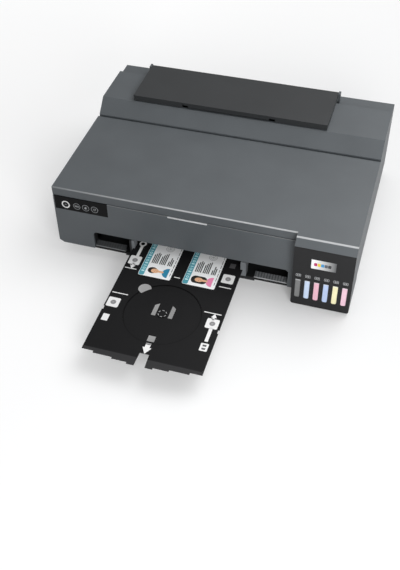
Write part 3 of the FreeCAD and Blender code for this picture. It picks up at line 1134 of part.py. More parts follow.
def make_platen():
    """Ribbed bridge under the print head, on the four posts of the base."""
    rib_foot = "(platen_top - platen_rib_height)"
    body = new_body("platen")
    pad(body, "platen_shell", "XY", [rectangle("platen_left", "platen_front", "platen_right",
                                               "platen_back")], "platen_bottom", rib_foot)
    pocket(body, "platen_hollow", "XY",
           [rectangle("slot_left", "platen_front + wall", "slot_right", "platen_back - wall")],
           f"platen_bottom - {OVER}", f"{rib_foot} - wall")
    rib = pad(body, "platen_rib_one", "XY",
              [rectangle("slot_left", "platen_front", "slot_left + platen_rib", "platen_back")],
              f"{rib_foot}", "platen_top")
    repeat(body, rib, "X", "floor((slot_right - slot_left) / platen_pitch)", "platen_pitch")
    return node("platen", body)


def make_pinch_rollers():
    """Bar on the rear plate with the idle rollers that press paper on the feed roller."""
    solids = [block("pinch_bar", ("slot_left", "feed_back + rib_depth", "rail_bottom - sheet"),
                    ("slot_right", "rail_back", "pinch_bar_top"))]
    wheels = []
    for number in range(int(size("pinch_count"))):
        start = f"(pinch_first + {number} * pinch_pitch)"
        for side, low in (("a", f"{start} - sheet"), ("b", f"{start} + pinch_width")):
            solids.append(block(f"pinch_cheek_{number}{side}",
                                (low, "feed_back - sheet", "pinch_height - sheet"),
                                (f"{low} + sheet", "feed_back + rib_depth * 2",
                                 "pinch_bar_top")))
        wheels.append(rod(f"pinch_wheel_{number}", "x", ("feed_back", "pinch_height"),
                          "pinch_radius", start, f"{start} + pinch_width", FEW))
    return node("pinch_rollers", group("pinch_set", [join("pinch_holder", solids)] + wheels))


def make_star_wheels():
    """Cross bar with five toothed wheels that hold the sheet down above the eject roller."""
    bar = [block("star_bar", ("frame_left + sheet", "eject_back - star_radius", "star_bar_bottom"),
                 ("bracket_left", "eject_back + star_radius", "star_bar_top"))]
    wheels = []
    points = int(size("star_teeth"))
    corners = [(size("star_radius") * (1 if step % 2 == 0 else 0.72), 180 * step / points)
               for step in range(points * 2)]
    for number in range(int(size("wheel_count"))):
        middle = f"(wheel_first + {number} * wheel_pitch)"
        wheel = toothed_disc(f"star_wheel_{number}", corners, size("star_thick"))
        wheel.setExpression("Placement.Base.x", formula(f"{middle} - star_thick / 2"))
        wheel.setExpression("Placement.Base.y", formula("eject_back"))
        wheel.setExpression("Placement.Base.z", formula("star_height"))
        wheels.append(wheel)
        for side, low in (("a", f"{middle} - star_thick / 2 - sheet"),
                          ("b", f"{middle} + star_thick / 2")):
            bar.append(block(f"star_cheek_{number}{side}",
                             (low, "eject_back - sheet", "star_height - sheet"),
                             (f"{low} + sheet", "eject_back + sheet",
                              "star_bar_bottom + sheet")))
    return node("star_wheels", group("star_set", [join("star_holder", bar)] + wheels))


# ---------------------------------------------------------------- carriage
CARRIAGE_RIGHT = "(carriage_left + carriage_width)"


def make_carriage():
    """Open-topped carriage: damper pockets inside, encoder cheeks in front, the two hooks that
    hang it on the rail lip and the clamp that grips the belt's upper run."""
    tub = block("carriage_block", ("carriage_left", "carriage_front", "carriage_bottom"),
                (CARRIAGE_RIGHT, "carriage_back", "carriage_top"))
    solids = [tub]
    lip_back = "(rail_lip_front + sheet + hook_gap)"
    for name, back in (("front", "(rail_lip_front - hook_gap - hook_depth)"), ("rear", lip_back)):
        solids.append(block(f"hook_{name}", ("carriage_left", back, "carriage_top - wall"),
                            (CARRIAGE_RIGHT, f"{back} + hook_depth", "hook_top")))
    for name, front in (("front", "(strip_back - hook_gap - wall)"),
                        ("rear", "(strip_back + strip_thick + hook_gap)")):
        solids.append(block(f"sensor_{name}",
                            ("carriage_left + carriage_wall + head_inset", front, "carriage_bottom"),
                            (f"{CARRIAGE_RIGHT} - carriage_wall - head_inset", f"{front} + wall",
                             "strip_top - wall")))
    middle = "(carriage_left + carriage_width / 2)"
    belt_low = "(pulley_height + pulley_radius + pin_gap)"
    solids.append(block("belt_clamp", (f"{middle} - clamp_half", "carriage_back - wall",
                                       f"{belt_low} - clamp_jaw"),
                        (f"{middle} + clamp_half", "rail_back - hook_gap",
                         f"{belt_low} + belt_thick + clamp_jaw")))
    bay = "((carriage_width - carriage_wall * 7) / 6)"
    tools = [block("belt_slot", (f"{middle} - clamp_half - {OVER}", "belt_back - fit_gap",
                                 f"{belt_low} - fit_gap"),
                   (f"{middle} + clamp_half + {OVER}", f"rail_back + {OVER}",
                    f"{belt_low} + belt_thick + fit_gap"))]
    for number in range(6):
        start = f"(carriage_left + carriage_wall + {number} * ({bay} + carriage_wall))"
        tools.append(block(f"damper_bay_{number}",
                           (start, "carriage_front + carriage_wall", "carriage_bottom + head_inset"),
                           (f"{start} + {bay}", "head_front + head_inset", f"carriage_top + {OVER}")))
    return node("carriage", cut("carriage_whole", join("carriage_solid", solids), tools))


def make_print_head():
    """Print head under the carriage, with its nozzle plate."""
    solids = [block("head_block", ("carriage_left + head_inset", "head_front", "head_bottom + sheet"),
                    (f"{CARRIAGE_RIGHT} - head_inset", "head_back", "carriage_bottom")),
              block("nozzle_plate", ("carriage_left + head_inset * 1.5",
                                     "head_front + rib_depth", "head_bottom"),
                    (f"{CARRIAGE_RIGHT} - head_inset * 1.5", "head_back - rib_depth",
                     "head_bottom + sheet"))]
    return node("print_head", join("head_whole", solids))


def make_encoder_strip():
    strip = block("strip_film", ("frame_left + sheet", "strip_back", "strip_foot"),
                  ("frame_right - sheet", "strip_back + strip_thick", "strip_top"))
    return node("encoder_strip", group("encoder_set", [strip]))


def belt_loop(name, radius, start, end):
    """Stadium round both pulleys, as one outer or inner block of the belt."""
    ends = [bore(f"{name}_{side}", "y", (side, "pulley_height"), radius, start, end, MORE)
            for side in ("pulley_left", "pulley_right")]
    run = block(f"{name}_run", ("pulley_left", start, f"pulley_height - {radius}"),
                ("pulley_right", end, f"pulley_height + {radius}"))
    return join(f"{name}_loop", ends + [run])


def make_timing_belt():
    """Closed loop that pulls the carriage."""
    outer = belt_loop("belt_outer", "(pulley_radius + pin_gap + belt_thick)", "belt_back",
                      "belt_back + belt_width")
    inner = belt_loop("belt_inner", "(pulley_radius + pin_gap)", f"belt_back - {OVER}",
                      f"belt_back + belt_width + {OVER}")
    return node("timing_belt", cut("belt_whole", outer, [inner]))


def make_pulley(name, place, shaft_end):
    """Pulley and its shaft."""
    solids = [rod(f"{name}_rim", "y", (place, "pulley_height"), "pulley_radius", "belt_back",
                  "belt_back + belt_width"),
              rod(f"{name}_shaft", "y", (place, "pulley_height"), "motor_shaft", "belt_back",
                  shaft_end, FEW)]
    return node(name, join(f"{name}_whole", solids))


def make_motor(name, axis, centre, start, end, shaft_gap):
    """Round motor can with a collar, and a bore for the shaft that turns in it."""
    can = rod(f"{name}_can", axis, centre, "motor_radius", f"({start}) + sheet", end, MORE)
    collar = rod(f"{name}_collar", axis, centre, "motor_radius - sheet", start,
                 f"({start}) + sheet * 2", FEW)
    hole = bore(f"{name}_bore", axis, centre, f"motor_shaft + {shaft_gap}",
                f"({start}) - {OVER}", f"({start}) + flange")
    return node(name, cut(f"{name}_whole", join(f"{name}_solid", [can, collar]), [hole]))


def make_cap_station():
    """Parking station: a tub with a rubber rim that closes the head's nozzles at rest."""
    tub = block("cap_tub", ("cap_left", "cap_front", FLOOR),
                ("cap_right", "cap_back", "cap_top - rubber_rim * 2"))
    head_left, head_right = "carriage_left + head_inset", f"{CARRIAGE_RIGHT} - head_inset"
    rim = block("cap_rim", (head_left, "head_front", "cap_top - rubber_rim * 3"),
                (head_right, "head_back", "cap_top"))
    well = block("cap_well", (f"{head_left} + rubber_rim", "head_front + rubber_rim",
                              "cap_top - rubber_rim"),
                 (f"{head_right} - rubber_rim", "head_back - rubber_rim", f"cap_top + {OVER}"))
    return node("cap_station", cut("cap_whole", join("cap_solid", [tub, rim]), [well]))


# ---------------------------------------------------------------- rear feeder
HOPPER_RUN = "(hopper_top_back - hopper_foot_back)"
HOPPER_RISE = "(hopper_top - hopper_foot)"
HOPPER_LONG = f"(sqrt({HOPPER_RUN} ^ 2 + {HOPPER_RISE} ^ 2))"


def beside_hopper(along, off):
    """Y and Z of a spot at a distance along the hopper from its foot, and off its face."""
    run, rise = f"({HOPPER_RUN} / {HOPPER_LONG})", f"({HOPPER_RISE} / {HOPPER_LONG})"
    return (f"(hopper_foot_back + ({along}) * {run} - ({off}) * {rise})",
            f"(hopper_foot + ({along}) * {rise} + ({off}) * {run})")


def hopper_slab(name, left, right, low, high, near, far):
    """Slab parallel to the hopper's face, between two distances along it and off it."""
    corners = [beside_hopper(low, near), beside_hopper(high, near),
               beside_hopper(high, far), beside_hopper(low, far)]
    return slab(name, "YZ", [corners], left, right)


def make_feeder_frame():
    """Fixed frame of the rear feeder: two cheeks, the ramp down to the feed roller and a tie
    bar, with bearings for the hopper and the pick-up roller."""
    solids, tools = [], []
    cheeks = (("left", "hopper_left - cheek_thick", "hopper_left"),
              ("right", "hopper_right", "hopper_right + cheek_thick"))
    for name, start, end in cheeks:
        solids.append(slab(f"feeder_cheek_{name}", "YZ",
                           [[("cheek_front", "cheek_bottom"), ("cheek_back", "cheek_bottom"),
                             ("cheek_back", "cheek_top"), ("hopper_top_back - flange * 2", "cheek_top"),
                             ("cheek_front", "pick_height + cheek_crest")]], start, end))
        tools.append(bore(f"pick_bearing_{name}", "x", ("pick_back", "pick_height"),
                          "shaft_radius + pin_gap", f"{start} - {OVER}", f"{end} + {OVER}"))
        tools.append(bore(f"hopper_bearing_{name}", "x",
                          beside_hopper(HOPPER_LONG, "-hopper_thick / 2"),
                          "stub_radius + pin_gap", f"{start} - {OVER}", f"{end} + {OVER}"))
    top = "(hopper_foot - hopper_slack - runner)"
    solids.append(slab("feeder_ramp", "YZ",
                       [[("ramp_front", "ramp_front_height - ramp_thick"),
                         ("hopper_foot_back", f"{top} - ramp_thick"), ("hopper_foot_back", top),
                         ("ramp_front", "ramp_front_height")]],
                       "hopper_left - cheek_thick", "hopper_right + cheek_thick"))
    solids.append(block("feeder_tie",
                        ("hopper_left - cheek_thick", "cheek_back - cheek_thick", "cheek_bottom"),
                        ("hopper_right + cheek_thick", "cheek_back", "hatch_top - flange * 2")))
    for name, start, end in cheeks:
        solids.append(block(f"feeder_leg_{name}", (start, "cheek_back - flange * 2", FLOOR),
                            (end, "cheek_back", "cheek_bottom + wall")))
    return node("feeder_frame", cut("feeder_whole", join("feeder_solid", solids), tools))


def make_hopper():
    """Plate that presses the paper stack on the pick-up roller; it swings on its top pins."""
    plate = hopper_slab("hopper_plate", "hopper_left + hopper_slack", "hopper_right - hopper_slack",
                        "0", HOPPER_LONG, "-hopper_thick", "0")
    pin = rod("hopper_pin", "x", beside_hopper(HOPPER_LONG, "-hopper_thick / 2"), "stub_radius",
              "hopper_left - cheek_thick", "hopper_right + cheek_thick")
    grooves = []
    for number in range(4):
        start = f"{HOPPER_LONG} * {number + 1} / 5"
        grooves.append(hopper_slab(f"hopper_groove_{number}", "guide_left + guide_width * 2",
                                   "pick_left - guide_width", start, f"{start} + wall",
                                   "-hopper_thick / 3", OVER))
    return node("hopper", join("hopper_whole", [cut("hopper_grooved", plate, grooves), pin]))


def make_pick_up_roller():
    """Shaft with one rubber tyre."""
    centre = ("pick_back", "pick_height")
    solids = [rod("pick_shaft", "x", centre, "shaft_radius", "hopper_left - cheek_thick - wall",
                  "hopper_right + cheek_thick + wall", FEW),
              rod("pick_tyre", "x", centre, "pick_radius", "pick_left", "pick_left + pick_width")]
    return node("pick_up_roller", join("pick_whole", solids))


def make_edge_guide():
    """Paper edge guide: a foot flat on the hopper and a fence square to it."""
    low, high = "guide_low", "(guide_low + guide_length)"
    solids = [hopper_slab("edge_foot", "guide_left", "guide_left + guide_width", low, high,
                          "fit_gap", "hopper_thick"),
              hopper_slab("edge_fence", "guide_left", "guide_left + wall", low, high,
                          "fit_gap", "guide_height")]
    return node("edge_guide", join("edge_whole", solids))


def make_paper_support():
    """Folding support, closed over the feed slot: a skirted plate on two pins, with a slot
    that the second leaf slides in."""
    top, low = "support_top", "(support_top - support_thick)"
    solids = [block("support_plate", ("support_left", "support_front", low),
                    ("support_right", "support_pivot", top))]
    skirt = "(support_top - support_skirt)"
    for name, start, end in (("left", "support_left", "support_left + wall"),
                             ("right", "support_right - wall", "support_right")):
        solids.append(block(f"support_skirt_{name}", (start, "support_front", skirt),
                            (end, "support_pivot", top)))
    for name, start, end in (("left", "support_left", "leaf_left - wall"),
                             ("right", "leaf_right + wall", "support_right")):
        solids.append(block(f"support_nose_{name}", (start, "support_front", skirt),
                            (end, "support_front + wall", top)))
    pivot = ("support_pivot", "support_pivot_height")
    solids.append(rod("support_barrel", "x", pivot, "support_end", "support_left", "support_right"))
    for name, start, end in (("left", "support_left - rib_depth", "support_left + wall"),
                             ("right", "support_right - wall", "support_right + rib_depth")):
        solids.append(rod(f"support_pin_{name}", "x", pivot, "stub_radius", start, end, FEW))
    rails = "(support_top - support_thick - leaf_thick - leaf_slot)"
    for name, start, end in (("left", "leaf_left - wall", "leaf_left - leaf_slot"),
                             ("right", "leaf_right + leaf_slot", "leaf_right + wall")):
        solids.append(block(f"leaf_rail_{name}", (start, "leaf_front", f"{rails} - sheet"),
                            (end, "leaf_front + leaf_length + wall", f"{low} + sheet")))
    for name, start, end in (("left", "leaf_left - wall", "leaf_left + wall"),
                             ("right", "leaf_right - wall", "leaf_right + wall")):
        solids.append(block(f"leaf_shelf_{name}", (start, "leaf_front", f"{rails} - sheet - leaf_slot"),
                            (end, "leaf_front + leaf_length + wall", f"{rails} - leaf_slot")))
    return node("paper_support", join("support_whole", solids))


def make_support_leaf():
    """Second leaf of the paper support, with a finger lip at its free end."""
    high = "(support_top - support_thick - leaf_slot / 2)"
    low = f"({high} - leaf_thick)"
    leaf = block("leaf_plate", ("leaf_left", "leaf_front - wall", low),
                 ("leaf_right", "leaf_front + leaf_length", high))
    lip = block("leaf_lip", ("leaf_left + flange", "support_front", f"{low} - wall"),
                ("leaf_right - flange", "leaf_front", high))
    return node("paper_support_leaf", join("leaf_whole", [leaf, lip]))


# ---------------------------------------------------------------- electrical parts
def make_power_supply():
    """Power supply: closed box with cooling slots in its roof."""
    right, roof = "supply_left + supply_width", f"{FLOOR} + supply_height"
    box = block("supply_box", ("supply_left", "supply_front", FLOOR),
                (right, "supply_back", roof))
    slots = []
    for number in range(6):
        start = f"supply_front + {number + 1} * (supply_back - supply_front) / 8"
        slots.append(block(f"supply_slot_{number}",
                           ("supply_left + rib_depth", start, f"{roof} - wall"),
                           (f"{right} - rib_depth", f"{start} + wall * 2", f"{roof} + {OVER}")))
    return node("power_supply", cut("supply_whole", box, slots))


def make_main_board():
    """Upright circuit board with a processor, four capacitors and a row of sockets."""
    face, board_top = "(board_left + board_thick)", "(board_bottom + board_height)"
    length = "(board_back - board_front)"
    solids = [block("board_sheet", ("board_left", "board_front", FLOOR),
                    (face, "board_back", board_top)),
              block("board_chip", (face, "board_front + chip_front", "board_bottom + chip_side"),
                    (f"{face} + wall", "board_front + chip_front + chip_side",
                     "board_bottom + chip_side * 2"))]
    for number in range(4):
        back = f"(board_front + {length} * {2 * number + 2} / 16)"
        solids.append(rod(f"board_can_{number}", "x", (back, "board_bottom + flange"),
                          "can_radius", face, f"{face} + flange", FEW))
        start = f"(board_front + {length} * {3 * number + 2} / 16)"
        solids.append(block(f"board_socket_{number}", (face, start, f"{board_top} - flange"),
                            (f"{face} + rib_depth", f"{start} + {length} / 8", board_top)))
    return node("main_board", join("board_whole", solids))


def make_maintenance_box():
    """Waste ink box beside the board."""
    box = block("pad_box", ("pad_box_left", "pad_box_front", FLOOR),
                ("pad_box_left + pad_box_width", "depth - wall * 3", f"{FLOOR} + pad_box_height"))
    grip = block("pad_grip", ("pad_box_left + wall", f"pad_box_front - {OVER}",
                              f"{FLOOR} + pad_box_height / 3"),
                 ("pad_box_left + pad_box_width - wall", "pad_box_front + wall",
                  f"{FLOOR} + pad_box_height * 2 / 3"))
    return node("maintenance_box", cut("pad_box_whole", box, [grip]))


def make_rear_sockets():
    """Mains inlet with two pins, and a data socket with its tongue."""
    back = "depth"
    inlet = block("inlet_box", ("inlet_left + fit_gap", "depth - inlet_depth", "inlet_bottom + fit_gap"),
                  ("inlet_left + inlet_width - fit_gap", back, "inlet_bottom + inlet_height - fit_gap"))
    inlet_room = block("inlet_room",
                       ("inlet_left + wall", "depth - inlet_depth + wall", "inlet_bottom + wall"),
                       ("inlet_left + inlet_width - wall", f"{back} + {OVER}",
                        "inlet_bottom + inlet_height - wall"))
    middle, level = "(inlet_left + inlet_width / 2)", "(inlet_bottom + inlet_height / 2)"
    pins = [rod(f"inlet_pin_{name}", "y", (f"{middle} {sign} rib_depth", level), "rib_thick",
                "depth - inlet_depth + wall / 2", "depth - wall", FEW)
            for name, sign in (("left", "-"), ("right", "+"))]
    inlet_whole = join("inlet_whole", [cut("inlet_shell", inlet, [inlet_room])] + pins)
    usb = block("usb_box", ("usb_left + fit_gap", "depth - inlet_depth", "usb_bottom + fit_gap"),
                ("usb_left + usb_width - fit_gap", back, "usb_bottom + usb_height - fit_gap"))
    usb_room = block("usb_room", ("usb_left + sheet", "depth - inlet_depth + wall", "usb_bottom + sheet"),
                     ("usb_left + usb_width - sheet", f"{back} + {OVER}", "usb_bottom + usb_height - sheet"))
    tongue = block("usb_tongue", ("usb_left + usb_width / 3", "depth - inlet_depth + wall / 2",
                                  "usb_bottom + usb_height / 2 - sheet"),
                   ("usb_left + usb_width * 2 / 3", "depth - wall", "usb_bottom + usb_height / 2 + sheet"))
    usb_whole = join("usb_whole", [cut("usb_shell", usb, [usb_room]), tongue])
    return node("rear_sockets", group("socket_set", [inlet_whole, usb_whole]))


def make_case_screws():
    """Four screws up through the base into the housing's bosses."""
    screws = []
    for number, (across, back) in enumerate(boss_places()):
        head = rod(f"screw_head_{number}", "z", (across, back), "screw_head",
                   "foot_height - head_thick", "foot_height", PIN)
        shank = rod(f"screw_shank_{number}", "z", (across, back), "screw_radius",
                    "foot_height - head_thick", "foot_height + wall + screw_length - fit_gap",
                    PIN)
        screws.append(join(f"screw_{number}", [head, shank]))
    return node("case_screws", group("screw_set", screws))


# ---------------------------------------------------------------- build, check and write
def make_all():
    make_front_panel()
    make_printer_cover()
    make_main_housing()
    make_base_case()
    make_feet()
    make_rear_cover()
    make_control_panel()
    for name, across, radius in button_places():
        make_button(name, across, radius)
    make_tank_housing()
    make_tank_front_panel()
    for number in range(6):
        make_ink_tank(number)
        make_ink_cap(number)
    make_disc_tray()
    make_cards()
    make_tray_guide()
    make_output_tray()
    make_output_extension()
    make_feed_roller()
    make_eject_roller()
    make_gears()
    make_main_frame()
    make_platen()
    make_pinch_rollers()
    make_star_wheels()
    make_carriage()
    make_print_head()
    make_encoder_strip()
    make_timing_belt()
    make_pulley("drive_pulley", "pulley_left", "rail_back + sheet + flange - lug_gap / 2")
    make_pulley("idler_pulley", "pulley_right", "rail_back + sheet + wall")
    make_motor("carriage_motor", "y", ("pulley_left", "pulley_height"), "rail_back + sheet",
               "rail_back + sheet + motor_length", "pin_gap")
    make_motor("feed_motor", "x", ("pinion_back", "pinion_height"), "frame_left + sheet",
               "frame_left + sheet + motor_length", "pin_gap")
    make_cap_station()
    make_feeder_frame()
    make_hopper()
    make_pick_up_roller()
    make_edge_guide()
    make_paper_support()
    make_support_leaf()
    make_power_supply()
    make_main_board()
    make_maintenance_box()
    make_rear_sockets()
    make_case_screws()


def write_parts():
    """Recompute, refuse a failed object or a bad shape, then write one file for each node."""
    doc.recompute()
    failed = [item.Name for item in doc.Objects
              if "Invalid" in item.State or "Error" in item.State]
    if failed:
        raise RuntimeError("failed objects: " + ", ".join(failed))
    for piece in nodes:
        if piece.Shape.isNull() or not piece.Shape.isValid():
            raise RuntimeError("bad shape: " + piece.Label)
    os.makedirs("parts", exist_ok=True)
    for piece in nodes:
        piece.Shape.exportStep(os.path.join("parts", piece.Label + ".step"))


make_all()
write_parts()
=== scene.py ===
"""Looks of the disc label printer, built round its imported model."""

import math

import bpy
from mathutils import Matrix, Vector


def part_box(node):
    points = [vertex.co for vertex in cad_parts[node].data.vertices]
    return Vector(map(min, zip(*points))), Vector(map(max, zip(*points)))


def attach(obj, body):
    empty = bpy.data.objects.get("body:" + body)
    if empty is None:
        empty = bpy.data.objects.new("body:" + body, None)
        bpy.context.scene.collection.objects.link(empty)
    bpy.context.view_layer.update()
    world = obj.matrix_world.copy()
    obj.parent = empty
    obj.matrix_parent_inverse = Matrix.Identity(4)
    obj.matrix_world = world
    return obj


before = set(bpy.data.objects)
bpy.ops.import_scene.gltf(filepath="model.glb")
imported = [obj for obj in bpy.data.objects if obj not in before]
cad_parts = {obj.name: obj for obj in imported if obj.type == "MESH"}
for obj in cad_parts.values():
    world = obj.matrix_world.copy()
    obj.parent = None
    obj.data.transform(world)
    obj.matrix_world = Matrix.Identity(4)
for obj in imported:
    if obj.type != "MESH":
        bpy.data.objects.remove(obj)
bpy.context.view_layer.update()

# ---------------------------------------------------------------- camera
# One fixed camera in front of the ink bay, looking down on the tray. Its axes are
# the view's right, up and back, in the printer's own frame.
CAMERA_PLACE = (0.303375, -0.968690, 0.984291)
CAMERA_AXES = ((0.9554847, 0.2940255, -0.0244534),
               (-0.1969260, 0.6972656, 0.6892320),
               (0.2197024, -0.6537351, 0.7241279))
CAMERA_LENS = 52.1

bpy.ops.object.camera_add()
camera = bpy.context.object
camera.name = "camera"
camera.matrix_world = (Matrix.Translation(CAMERA_PLACE)
                       @ Matrix(CAMERA_AXES).transposed().to_4x4())
camera.data.lens = CAMERA_LENS
bpy.context.scene.camera = camera

# ---------------------------------------------------------------- table and light
# A white table top under soft lamps: a broad one overhead, a nearer one in front of the
# ink bay, and a weak one on the left. To the camera the table top also glows a little,
# least on its right near the printer, so that the shadows on it stay pale.
FLOOR_HALF, FLOOR_LEVEL = 6.0, -0.0002
FLOOR_COLOUR, FLOOR_ROUGHNESS = (0.65, 0.653, 0.657, 1), 0.65
GLOW_LEFT, GLOW_RIGHT, GLOW_SPAN = 0.38, 0.13, 0.35
GLOW_REACH = (0.55, 2.6)
WHITE = (1, 1, 1, 1)
WORLD_LEVEL = 0.39
LAMP_AIM = Vector((0, -0.05, 0.08))
LAMPS = {
    "overhead_lamp": {"place": (0.52, 0.44, 1.2), "size": 1.2, "power": 13.6},
    "bay_lamp": {"place": (0.62, -1.0, 0.62), "size": 0.5, "power": 9.0},
    "left_lamp": {"place": (-1.5, -0.3, 1.3), "size": 1.2, "power": 0.4},
}


def nothing_selected():
    """Leaves nothing selected, so that the next operator acts on its own piece only."""
    bpy.ops.object.select_all(action="DESELECT")


def finish(name, roughness):
    """New finish that knows how rough it is and where on its piece a point lies."""
    material = bpy.data.materials.new(name)
    material.use_nodes = True
    material.node_tree.nodes["Principled BSDF"].inputs["Roughness"].default_value = roughness
    material.node_tree.nodes.new("ShaderNodeTexCoord")
    return material


def axes_of(material):
    """The place of a point on the piece, as three sockets."""
    nodes, links = material.node_tree.nodes, material.node_tree.links
    split = nodes.new("ShaderNodeSeparateXYZ")
    links.new(nodes["Texture Coordinate"].outputs["Object"], split.inputs["Vector"])
    return split.outputs


def feed(material, socket, value):
    """Sets a socket to a plain number, or links another socket to it."""
    if isinstance(value, (int, float)):
        socket.default_value = value
    else:
        material.node_tree.links.new(value, socket)


def ramp(material, value, start, end, low=0.0, high=1.0):
    """Goes evenly from low to high while a value goes from start to end, and no further."""
    step = material.node_tree.nodes.new("ShaderNodeMapRange")
    for socket, part in (("Value", value), ("From Min", start), ("From Max", end),
                         ("To Min", low), ("To Max", high)):
        feed(material, step.inputs[socket], part)
    return step.outputs["Result"]


def sums(material, kind, *values):
    """One step of arithmetic between sockets and plain numbers."""
    step = material.node_tree.nodes.new("ShaderNodeMath")
    step.operation = kind
    for socket, value in zip(step.inputs, values):
        feed(material, socket, value)
    return step.outputs["Value"]


def glowing_white():
    """White lacquer that glows for the camera: least on the right, and fully far away."""
    material = finish("white_table", FLOOR_ROUGHNESS)
    nodes, links = material.node_tree.nodes, material.node_tree.links
    shader = nodes["Principled BSDF"]
    shader.inputs["Base Color"].default_value = FLOOR_COLOUR
    shader.inputs["Emission Color"].default_value = WHITE
    away = nodes.new("ShaderNodeVectorMath")
    away.operation = "LENGTH"
    links.new(nodes["Texture Coordinate"].outputs["Object"], away.inputs[0])
    near = ramp(material, axes_of(material)["X"], -GLOW_SPAN, GLOW_SPAN, GLOW_LEFT, GLOW_RIGHT)
    glow = ramp(material, away.outputs["Value"], *GLOW_REACH, near)
    seen = nodes.new("ShaderNodeLightPath").outputs["Is Camera Ray"]
    links.new(sums(material, "MULTIPLY", seen, glow), shader.inputs["Emission Strength"])
    return material


nothing_selected()
bpy.ops.mesh.primitive_plane_add(size=2 * FLOOR_HALF, location=(0, 0, FLOOR_LEVEL))
floor = bpy.context.object
floor.name = "table_top"
bpy.ops.object.transform_apply(location=True, rotation=True, scale=True)
floor.data.materials.append(glowing_white())

world = bpy.data.worlds.new("studio")
bpy.context.scene.world = world
world.use_nodes = True
sky = world.node_tree.nodes["Background"]
sky.inputs["Color"].default_value = WHITE
rays = world.node_tree.nodes.new("ShaderNodeLightPath")
feed(world, sky.inputs["Strength"],
     ramp(world, rays.outputs["Is Camera Ray"], 0.0, 1.0, WORLD_LEVEL, 1.0))

for name, lamp in LAMPS.items():
    place = Vector(lamp["place"])
    bpy.ops.object.light_add(type="AREA", location=place)
    light = bpy.context.object
    light.name = name
    light.data.size = lamp["size"]
    light.data.energy = lamp["power"]
    light.visible_camera = False
    light.rotation_euler = (LAMP_AIM - place).to_track_quat("-Z", "Y").to_euler()

bpy.context.scene.view_settings.view_transform = "Standard"

# ---------------------------------------------------------------- grey casing
# Front panel, lid, side walls, hood and bay casing are injection-moulded ABS, dyed
# dark grey, with a fine spark-eroded grain that scatters the light.
CASING_GREY, CASING_ROUGHNESS = (0.088, 0.098, 0.106, 1), 0.46
CLOUD_SCALE, CLOUD_DETAIL, CLOUD_STOPS = 14, 3, (0.3, 0.7)
GRAIN_DETAIL, GRAIN_STRENGTH = 2, 0.6


def clouded(material, colour, drift, scale, detail=2, stops=(0, 1)):
    """Gives a finish its colour, which drifts a little darker and paler over the piece."""
    nodes, links = material.node_tree.nodes, material.node_tree.links
    cloud = nodes.new("ShaderNodeTexNoise")
    cloud.inputs["Scale"].default_value = scale
    cloud.inputs["Detail"].default_value = detail
    tones = nodes.new("ShaderNodeValToRGB")
    shares = (1 - drift, 1 + drift)
    for stop, share, position in zip(tones.color_ramp.elements, shares, stops):
        stop.color = [min(1.0, part * share) for part in colour[:3]] + [1]
        stop.position = position
    links.new(nodes["Texture Coordinate"].outputs["Object"], cloud.inputs["Vector"])
    links.new(cloud.outputs["Fac"], tones.inputs["Fac"])
    links.new(tones.outputs["Color"], nodes["Principled BSDF"].inputs["Base Color"])


def moulded(name, colour, roughness, grain_depth=0.00006, grain_scale=2600, drift=0.06,
            shine=0.5):
    """Dyed plastic with a fine mould grain, and a little drift of colour over the piece."""
    material = finish(name, roughness)
    nodes, links = material.node_tree.nodes, material.node_tree.links
    shader = nodes["Principled BSDF"]
    shader.inputs["Specular IOR Level"].default_value = shine
    clouded(material, colour, drift, CLOUD_SCALE, CLOUD_DETAIL, CLOUD_STOPS)
    grain = nodes.new("ShaderNodeTexNoise")
    grain.name = "grain"
    grain.inputs["Scale"].default_value = grain_scale
    grain.inputs["Detail"].default_value = GRAIN_DETAIL
    bump = nodes.new("ShaderNodeBump")
    bump.inputs["Distance"].default_value = grain_depth
    bump.inputs["Strength"].default_value = GRAIN_STRENGTH
    links.new(nodes["Texture Coordinate"].outputs["Object"], grain.inputs["Vector"])
    links.new(grain.outputs["Fac"], bump.inputs["Height"])
    links.new(bump.outputs["Normal"], shader.inputs["Normal"])
    return material


def dress(material, *names):
    """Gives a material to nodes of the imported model."""
    for name in names:
        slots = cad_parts[name].data.materials
        slots.clear()
        slots.append(material)


def tinged(material, colour, mask):
    """Mixes a second colour into a finish where the mask's socket reads 1."""
    nodes, links = material.node_tree.nodes, material.node_tree.links
    shader = nodes["Principled BSDF"]
    under = shader.inputs["Base Color"].links[0].from_socket
    mix = nodes.new("ShaderNodeMix")
    mix.data_type = "RGBA"
    mix.inputs["B"].default_value = colour
    links.new(under, mix.inputs["A"])
    links.new(mask, mix.inputs["Factor"])
    links.new(mix.outputs["Result"], shader.inputs["Base Color"])


def product(material, *values):
    """Multiplies sockets and plain numbers, as where several masks must all read 1."""
    result = values[0]
    for value in values[1:]:
        result = sums(material, "MULTIPLY", result, value)
    return result


def distance(material, across, along):
    """How far a point lies from a line or a middle, from its two offsets."""
    squares = sums(material, "ADD", product(material, across, across),
                   product(material, along, along))
    return sums(material, "SQRT", squares)


